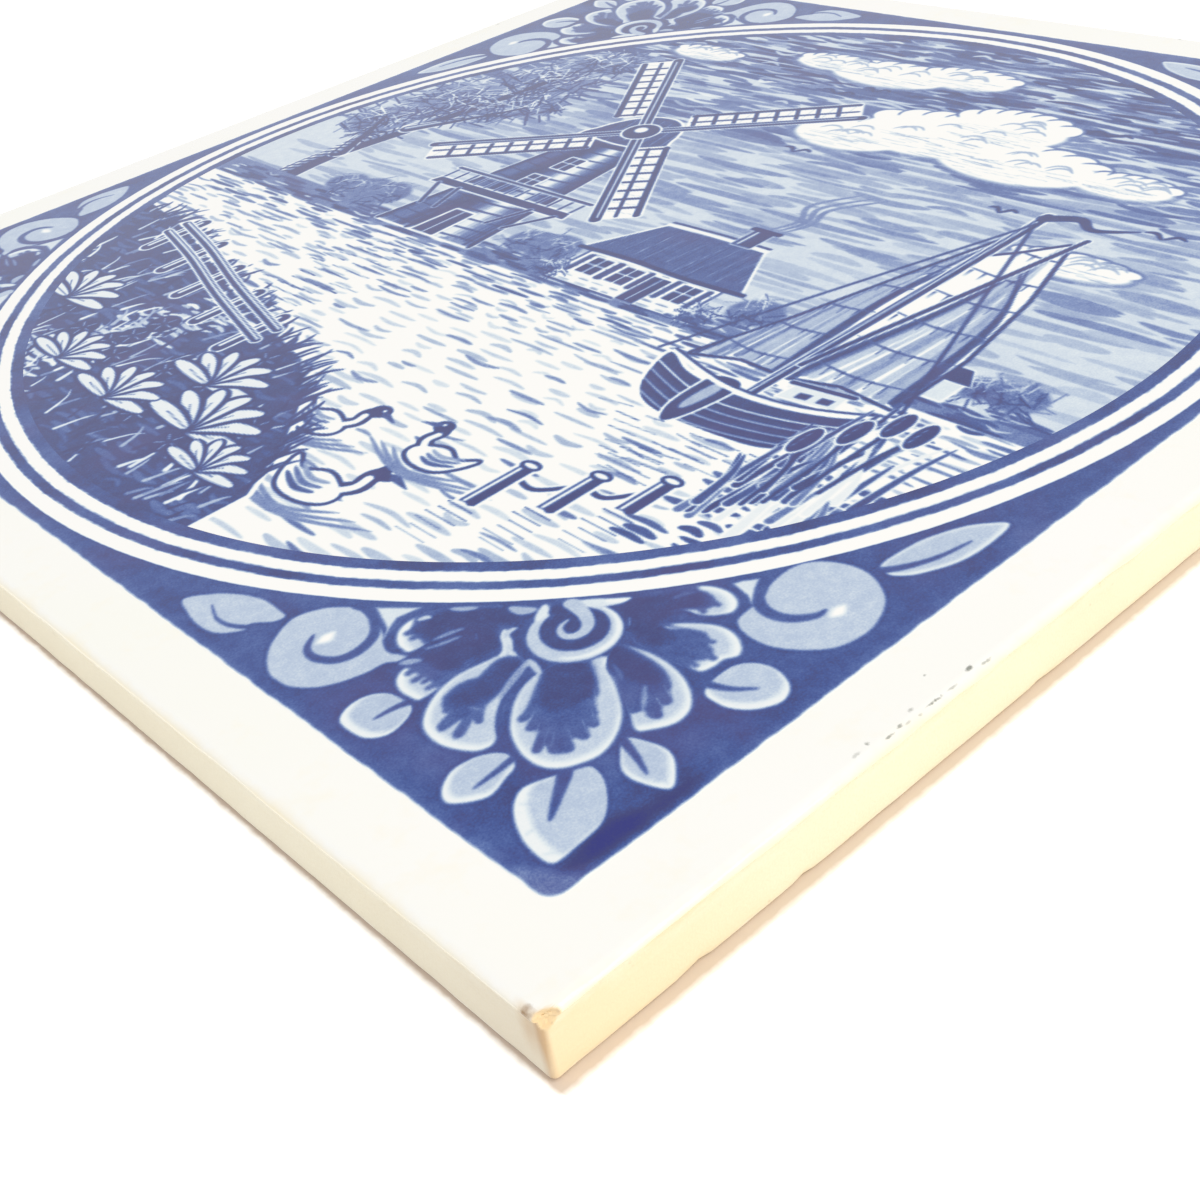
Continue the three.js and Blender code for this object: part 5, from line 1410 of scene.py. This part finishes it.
edged([(39.6, -15.8), (45.9, -15.1)], 0.6, 0.98, edge=0.2)
for x, y in ((41.4, -17.8), (43.6, -17.5)):
    art.fill([(x, y), (x + 1.2, y + 0.2), (x + 1.2, y + 1.1), (x, y + 0.9)], 0.97, smooth=False)
art.brush([(26.4, -17.2), (35, -19.6), (43, -19.2), (51, -16)], 0.7, 0.04, "line")
art.brush([(26.2, -16.8), (35, -19.1), (43, -18.7), (51.2, -15.5)], 0.3, 0.97, "line")
for row, y in enumerate(np.arange(-27, -36, -1.0)):
    for _ in range(4):
        x = between(27 + row, 46 - row)
        ripple = [(x, y + between(-0.3, 0.3)), (x + between(1.6, 5.5), y + between(-0.3, 0.3))]
        art.brush(ripple, between(0.5, 0.95), between(0.65, 1.0) - 0.03 * row)

# Near water: swimming ducks, and mooring posts with a rope between them.
DUCK = np.array([
    (-3.8, 1.6), (-2.2, 0.7), (-0.4, 1.4), (1.2, 1.0), (2.4, 0.2), (2.2, -0.9), (0.5, -1.6),
    (-1.8, -1.4), (-3.2, 0),
])


def duck(x, y, size, way):
    """A swimming duck with its ripples, which looks to the right, or to the left where way is -1."""
    def place(points):
        return np.array(points) * (way * size, size) + (x, y)

    for far in (5, 7, 9):
        art.brush(place([(-far, -0.8 - far * 0.06), (0, -1.9 - far * 0.14), (far * 0.8, -0.9)]), 0.55, 0.5)
    art.brush(place([(1.5, 0.4), (2.5, 1.4), (2.3, 2.6), (2.8, 3.4)]), 1.5 * size, 1.0, "line")
    art.fill(place(DUCK), 1.0, grow=0.4)
    art.fill(place(DUCK), 0.03)
    art.brush(place([(1.5, 0.2), (2.4, 1.3), (2.3, 2.4)]), 0.7 * size, 0.04, "line")
    for lift in (0.7, 0.1, -0.5):
        feather = place([(-2.8, lift + 0.5), (-0.8, lift - 0.3), (0.8, lift)])
        art.brush(feather, 0.45 * size, 0.65 - 0.35 * lift)
    art.fill(place(oval(2.9, 3.5, 1.0, 0.85)), 0.98)
    art.brush(place([(3.6, 3.4), (5.2, 3.0)]), 0.7 * size, 0.8, "comet")
    art.fill(place(oval(3.1, 3.7, 0.2, 0.2)), 0.02)


for x, y, size, way in ((8.5, -44.5, 1.2, 1), (17.5, -51.5, 1.45, 1), (22.5, -42.5, 1.1, -1)):
    duck(x, y, size, way)
POSTS = [(31.0, -45.5, 7.0), (37.2, -42.4, 6.2), (42.6, -38.8, 5.4)]
for (x0, y0, t0), (x1, y1, t1) in zip(POSTS[:-1], POSTS[1:]):
    start, end = (x0, y0 + t0 - 1.6), (x1, y1 + t1 - 1.6)
    edged([start, ((x0 + x1) / 2, (start[1] + end[1]) / 2 - 1.9), end], 0.55, 0.98, edge=0.25)
for x, y, tall in POSTS:
    panel([(x - 0.9, y), (x + 0.9, y + 0.1), (x + 0.8, y + tall), (x - 0.8, y + tall)], 0.9, 0.45)
    art.rule([(x - 0.45, y + 0.3), (x - 0.4, y + tall)], 0.4, 0.06)
    art.rule([(x + 0.4, y + 0.3), (x + 0.35, y + tall)], 0.8, 1.0)
    art.fill(oval(x, y + tall, 0.9, 0.45), 1.0, grow=0.25)
    art.fill(oval(x, y + tall, 0.8, 0.35), 0.05)
    for step in range(6):
        left, right = x - 1.6 + between(-0.5, 0.5), x + 1.6 + between(-0.4, 0.6)
        art.brush([(left, y - 0.6 - step), (right, y - 0.7 - step)], 0.65, 0.97 - 0.09 * step)

# Reeds with bulrushes at the right, bent by the wind, before the dark water at their foot.
strokes((43, -41), (58, -26), 14, (2, 6), (0.5, 1.0), (0.75, 1.0), 0.3)
for _ in range(46):
    x, y = between(45.5, 57), between(-37, -25)
    tall, lean = between(5, 12), between(-0.4, 0.2)
    reed = [(x, y), (x + lean * tall * 0.35, y + tall * 0.6), (x + lean * tall, y + tall)]
    edged(reed, between(0.6, 1.0), draw.choice([0.97, 0.97, 0.85, 0.6, 0.1]), "comet", 0.22)
BULRUSHES = [(49.4, -32.6, 10, -2.4), (50.6, -31.4, 12, -1), (51.8, -29.6, 13, 0), (53.2, -28, 11, 1.2)]
for x, y, tall, lean in BULRUSHES:
    art.brush([(x, y), (x + lean * 0.3, y + tall * 0.6), (x + lean, y + tall)], 0.45, 0.98, "line")
    art.fill(oval(x + lean, y + tall, 0.85, 2.1), 0.04, grow=0.3)
    art.fill(oval(x + lean, y + tall, 0.85, 2.1), 1.0)
    art.brush([(x + lean - 0.3, y + tall - 1.4), (x + lean - 0.3, y + tall + 1.2)], 0.3, 0.2)

# Bank in the foreground: dark earth, grass, a path, a rail fence, flowers and broad leaves.
BANK = [
    (-64, -24), (-50, -26.4), (-38, -29.6), (-27, -33.2), (-15, -36), (-4, -38.6), (3, -43), (9, -49),
    (14, -56), (14, -64), (-64, -64),
]
bank_edge = np.array(BANK[:9])
art.fill(BANK, 0.04, grow=0.6, smooth=False)
art.fill(BANK, 0.9, smooth=False)
art.keep_within(BANK)
for y in np.arange(-62, -26, 1.0):
    strokes((-62, y), (14, y), 1, (2, 6), (0.4, 0.9), (0.55, 0.8), 0.4, 0.8, (0.3, 1.2))
for y in np.arange(-61, -33, 0.85):
    middle = -36 + 0.62 * (y + 61)
    strokes((middle - 6, y), (middle + 4, y), 1, (1.5, 4.5), (0.5, 0.95), (0.03, 0.22), 0.3, 0.95,
            (0, 0.25))
for _ in range(460):
    x, y = between(-62, 14), between(-63, -26)
    tall, lean = between(1.6, 4.2), between(-0.8, 0.8)
    art.brush(blade(x, y, tall, lean), between(0.35, 0.7),
              draw.choice([1.0, 0.97, 0.04, 0.08, 0.25, 0.45]), "comet", strength=0.95)
art.keep_within(None)
for _ in range(170):
    x = between(-62, 13)
    y = np.interp(x, bank_edge[:, 0], bank_edge[:, 1]) + between(-1.4, 0.1)
    tall, lean = between(1.8, 4.6), between(-0.6, 0.6)
    art.brush(blade(x, y, tall, lean), between(0.4, 0.7), between(0.85, 1.0), "comet")
for x, y in ((-46, -29.5), (-38, -32), (-30, -34.6), (-22, -37), (-14, -39)):
    edged([(x, y - 3), (x, y + 4.8)], 1.5, 0.98, edge=0.35)
    art.rule([(x - 0.3, y - 2.6), (x - 0.3, y + 4.6)], 0.5, 0.08)
for lift in (0.6, 3.2):
    rail = [(-48, -29.2 + lift), (-38, -31.8 + lift), (-26, -35.6 + lift), (-12, -39.4 + lift)]
    edged(rail, 1.0, 0.98)
    art.brush(np.array(rail) + (0, 0.2), 0.35, 0.08, "line")
for _ in range(22):
    x, y = between(-56, 4), between(-58, -40)
    if np.hypot(x, y) > 60:
        continue
    art.fill(oval(x, y, 1.9, 1.9), 0.97, soft=0.3)
    for angle in np.arange(0, 6.2, 1.26):
        art.brush(pull(x, y, 1.4, angle), 1.0, 0.03)
    art.fill(oval(x, y, 0.45, 0.45), 0.95)
BROAD_LEAVES = [
    (-8, -47, 1.4), (-1.5, -53, 1.6), (-15, -54.5, 1.3), (6, -56.5, 1.1), (-42, -45, 1.4), (-28, -53, 1.2),
]
for x, y, size in BROAD_LEAVES:
    for angle in np.arange(0.1, 3.1, 0.48):
        end = np.array([x + 5.2 * size * math.cos(angle), y + 4.2 * size * math.sin(angle)])
        middle = np.array([x + 2.8 * size * math.cos(angle) - 0.4, y + 2.9 * size * math.sin(angle)])
        art.brush([(x, y), middle, end], 1.9 * size, 1.0)
        art.brush([(x, y), middle, end], 1.15 * size, 0.1)
        art.brush([(x, y), middle], 0.35 * size, 0.9)

# The picture fills its round in four quarters, each a closed layer that meets the frame line.
share = np.linspace(0, 1, PICTURE_STEPS + 1)
a, b = np.meshgrid(share, share)
quarter_x = PICTURE_RADIUS * a * np.sqrt(1 - b * b / 2)
quarter_y = PICTURE_RADIUS * b * np.sqrt(1 - a * a / 2)
all_cells = np.ones((PICTURE_STEPS, PICTURE_STEPS), bool)
picture_nodes = ["picture_wash", "picture_mill", "picture_cottage", "picture_barge", "picture_tree",
                 "picture_bank", "picture_shore", "picture_mooring", "picture_reeds"]
for quarter in range(4):
    x, y = turned_round(quarter_x, quarter_y, quarter)
    made = slab(f"print_picture_{quarter + 1}", x, y, art.at(-y, x), all_cells)
    made.data.materials.append(cobalt.material)
    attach(made, "root")
    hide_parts(*picture_nodes)

# Table: a white sheet under the tile, which takes its shadow and runs on into a white background. Along
# the tile's foot a narrow band of painted shadow is laid on it: a tan colour, and less of its glow.
SHEET_HALF = 3000
SHEET_DEPTH = 0.02
SHEET_WHITE = linear(252, 252, 251)
# Painted shadow along the tile's foot: tan on the right, paler on the left.
RIGHT_PAINTED_SHADOW = linear(224, 208, 192)
LEFT_PAINTED_SHADOW = linear(248, 236, 224)
SHEET_GLOW = 0.4


def seen_directly(nodes):
    """All where a ray comes from the camera, or from a shiny or clear surface that shows this one."""
    rays = ("Is Camera Ray", "Is Glossy Ray", "Is Transmission Ray")
    return sum(nodes.node("ShaderNodeLightPath", output=ray) for ray in rays).between(0, 1)


sheet = Finish("white_table", Roughness=0.9, Specular_IOR_Level=0.0, Emission_Strength=1.0)
x, y, _ = sheet.axes()
# A narrow band of painted shadow along the foot, with a ragged edge: tan colour and less glow.
shadow_wobble = (sheet.noise(900, 3) - 0.5) * 0.0004
off_foot_x = (sheet.size(x) + shadow_wobble).between(0.0758, 0.0763)
off_foot_y = (sheet.size(y) + shadow_wobble).between(0.0763, 0.0771)
shadow_by_foot = (1 - off_foot_y) * (1 - off_foot_x)
left_side = 1 - x.between(-0.0764, -0.0758)
painted_shadow_colour = sheet.mix(left_side, RIGHT_PAINTED_SHADOW, LEFT_PAINTED_SHADOW)
glow = seen_directly(sheet) * (1 - shadow_by_foot * (1 - left_side * 0.4))
sheet.use(Base_Color=sheet.mix(shadow_by_foot, SHEET_WHITE, painted_shadow_colour),
          Emission_Color=sheet.mix(glow, (0, 0, 0, 1), (SHEET_GLOW, SHEET_GLOW, SHEET_GLOW, 1)))
sheet_sides = ((-1, -1), (1, -1), (1, 1), (-1, 1))
sheet_corners = [(SHEET_HALF * x, SHEET_HALF * y, -SHEET_DEPTH) for x, y in sheet_sides]
floor = piece("table", sheet_corners, [(0, 1, 2, 3)])
floor.data.materials.append(sheet.material)

# Light: white all round, a large soft lamp high on the near side, and a low one on either side, of
# which the right one is warm.
ROOM_LIGHT = 0.66

world = bpy.data.worlds.new("white_room")
bpy.context.scene.world = world
world.use_nodes = True
room = Nodes(world.node_tree)
level_seen = room.node("ShaderNodeMapRange", None, {"Value": seen_directly(room), "To Min": ROOM_LIGHT})
background = world.node_tree.nodes["Background"]
background.inputs["Color"].default_value = (1, 1, 1, 1)
world.node_tree.links.new(level_seen.socket, background.inputs["Strength"])


def lamp(name, place, aim, size, power, colour):
    """A square soft lamp that looks at a place."""
    light = bpy.data.lights.new(name, "AREA")
    light.shape = "SQUARE"
    light.size = size
    light.energy = power
    light.color = colour
    made = bpy.data.objects.new(name, light)
    made.location = place
    made.rotation_euler = (Vector(aim) - Vector(place)).to_track_quat("-Z", "Y").to_euler()
    bpy.context.scene.collection.objects.link(made)


lamp("soft_window", (0.35, -1.0, 1.6), (0, 0, 0), 1.2, 13.5, (1.0, 0.99, 0.97))
lamp("warm_side", (0.1, -0.9, 0.25), (0, -0.07, 0), 0.5, 1.8, (1.0, 0.86, 0.5))
lamp("low_left", (-0.9, 0.1, 0.25), (-0.07, 0, 0), 0.5, 0.9, (0.95, 0.98, 1.3))

# Camera: near the corner and low, as the photograph was taken.
CAMERA_PLACE = (-0.104655, -0.126061, 0.071724)
CAMERA_RIGHT = Vector((0.73343142, -0.66578192, -0.13715972))
CAMERA_DOWN = Vector((-0.47085225, -0.35204579, -0.80892640))
CAMERA_AHEAD = Vector((0.49028208, 0.65787400, -0.57168636))
camera = bpy.data.objects.new("camera", bpy.data.cameras.new("camera"))
camera.data.lens = 48.12
camera.data.sensor_width = 36
camera.data.clip_start = 0.005
camera.data.clip_end = 20
facing = Matrix((CAMERA_RIGHT, -CAMERA_DOWN, -CAMERA_AHEAD)).transposed()
camera.matrix_world = Matrix.Translation(CAMERA_PLACE) @ facing.to_4x4()
bpy.context.scene.collection.objects.link(camera)
bpy.context.scene.camera = camera
bpy.context.scene.view_settings.view_transform = "Standard"
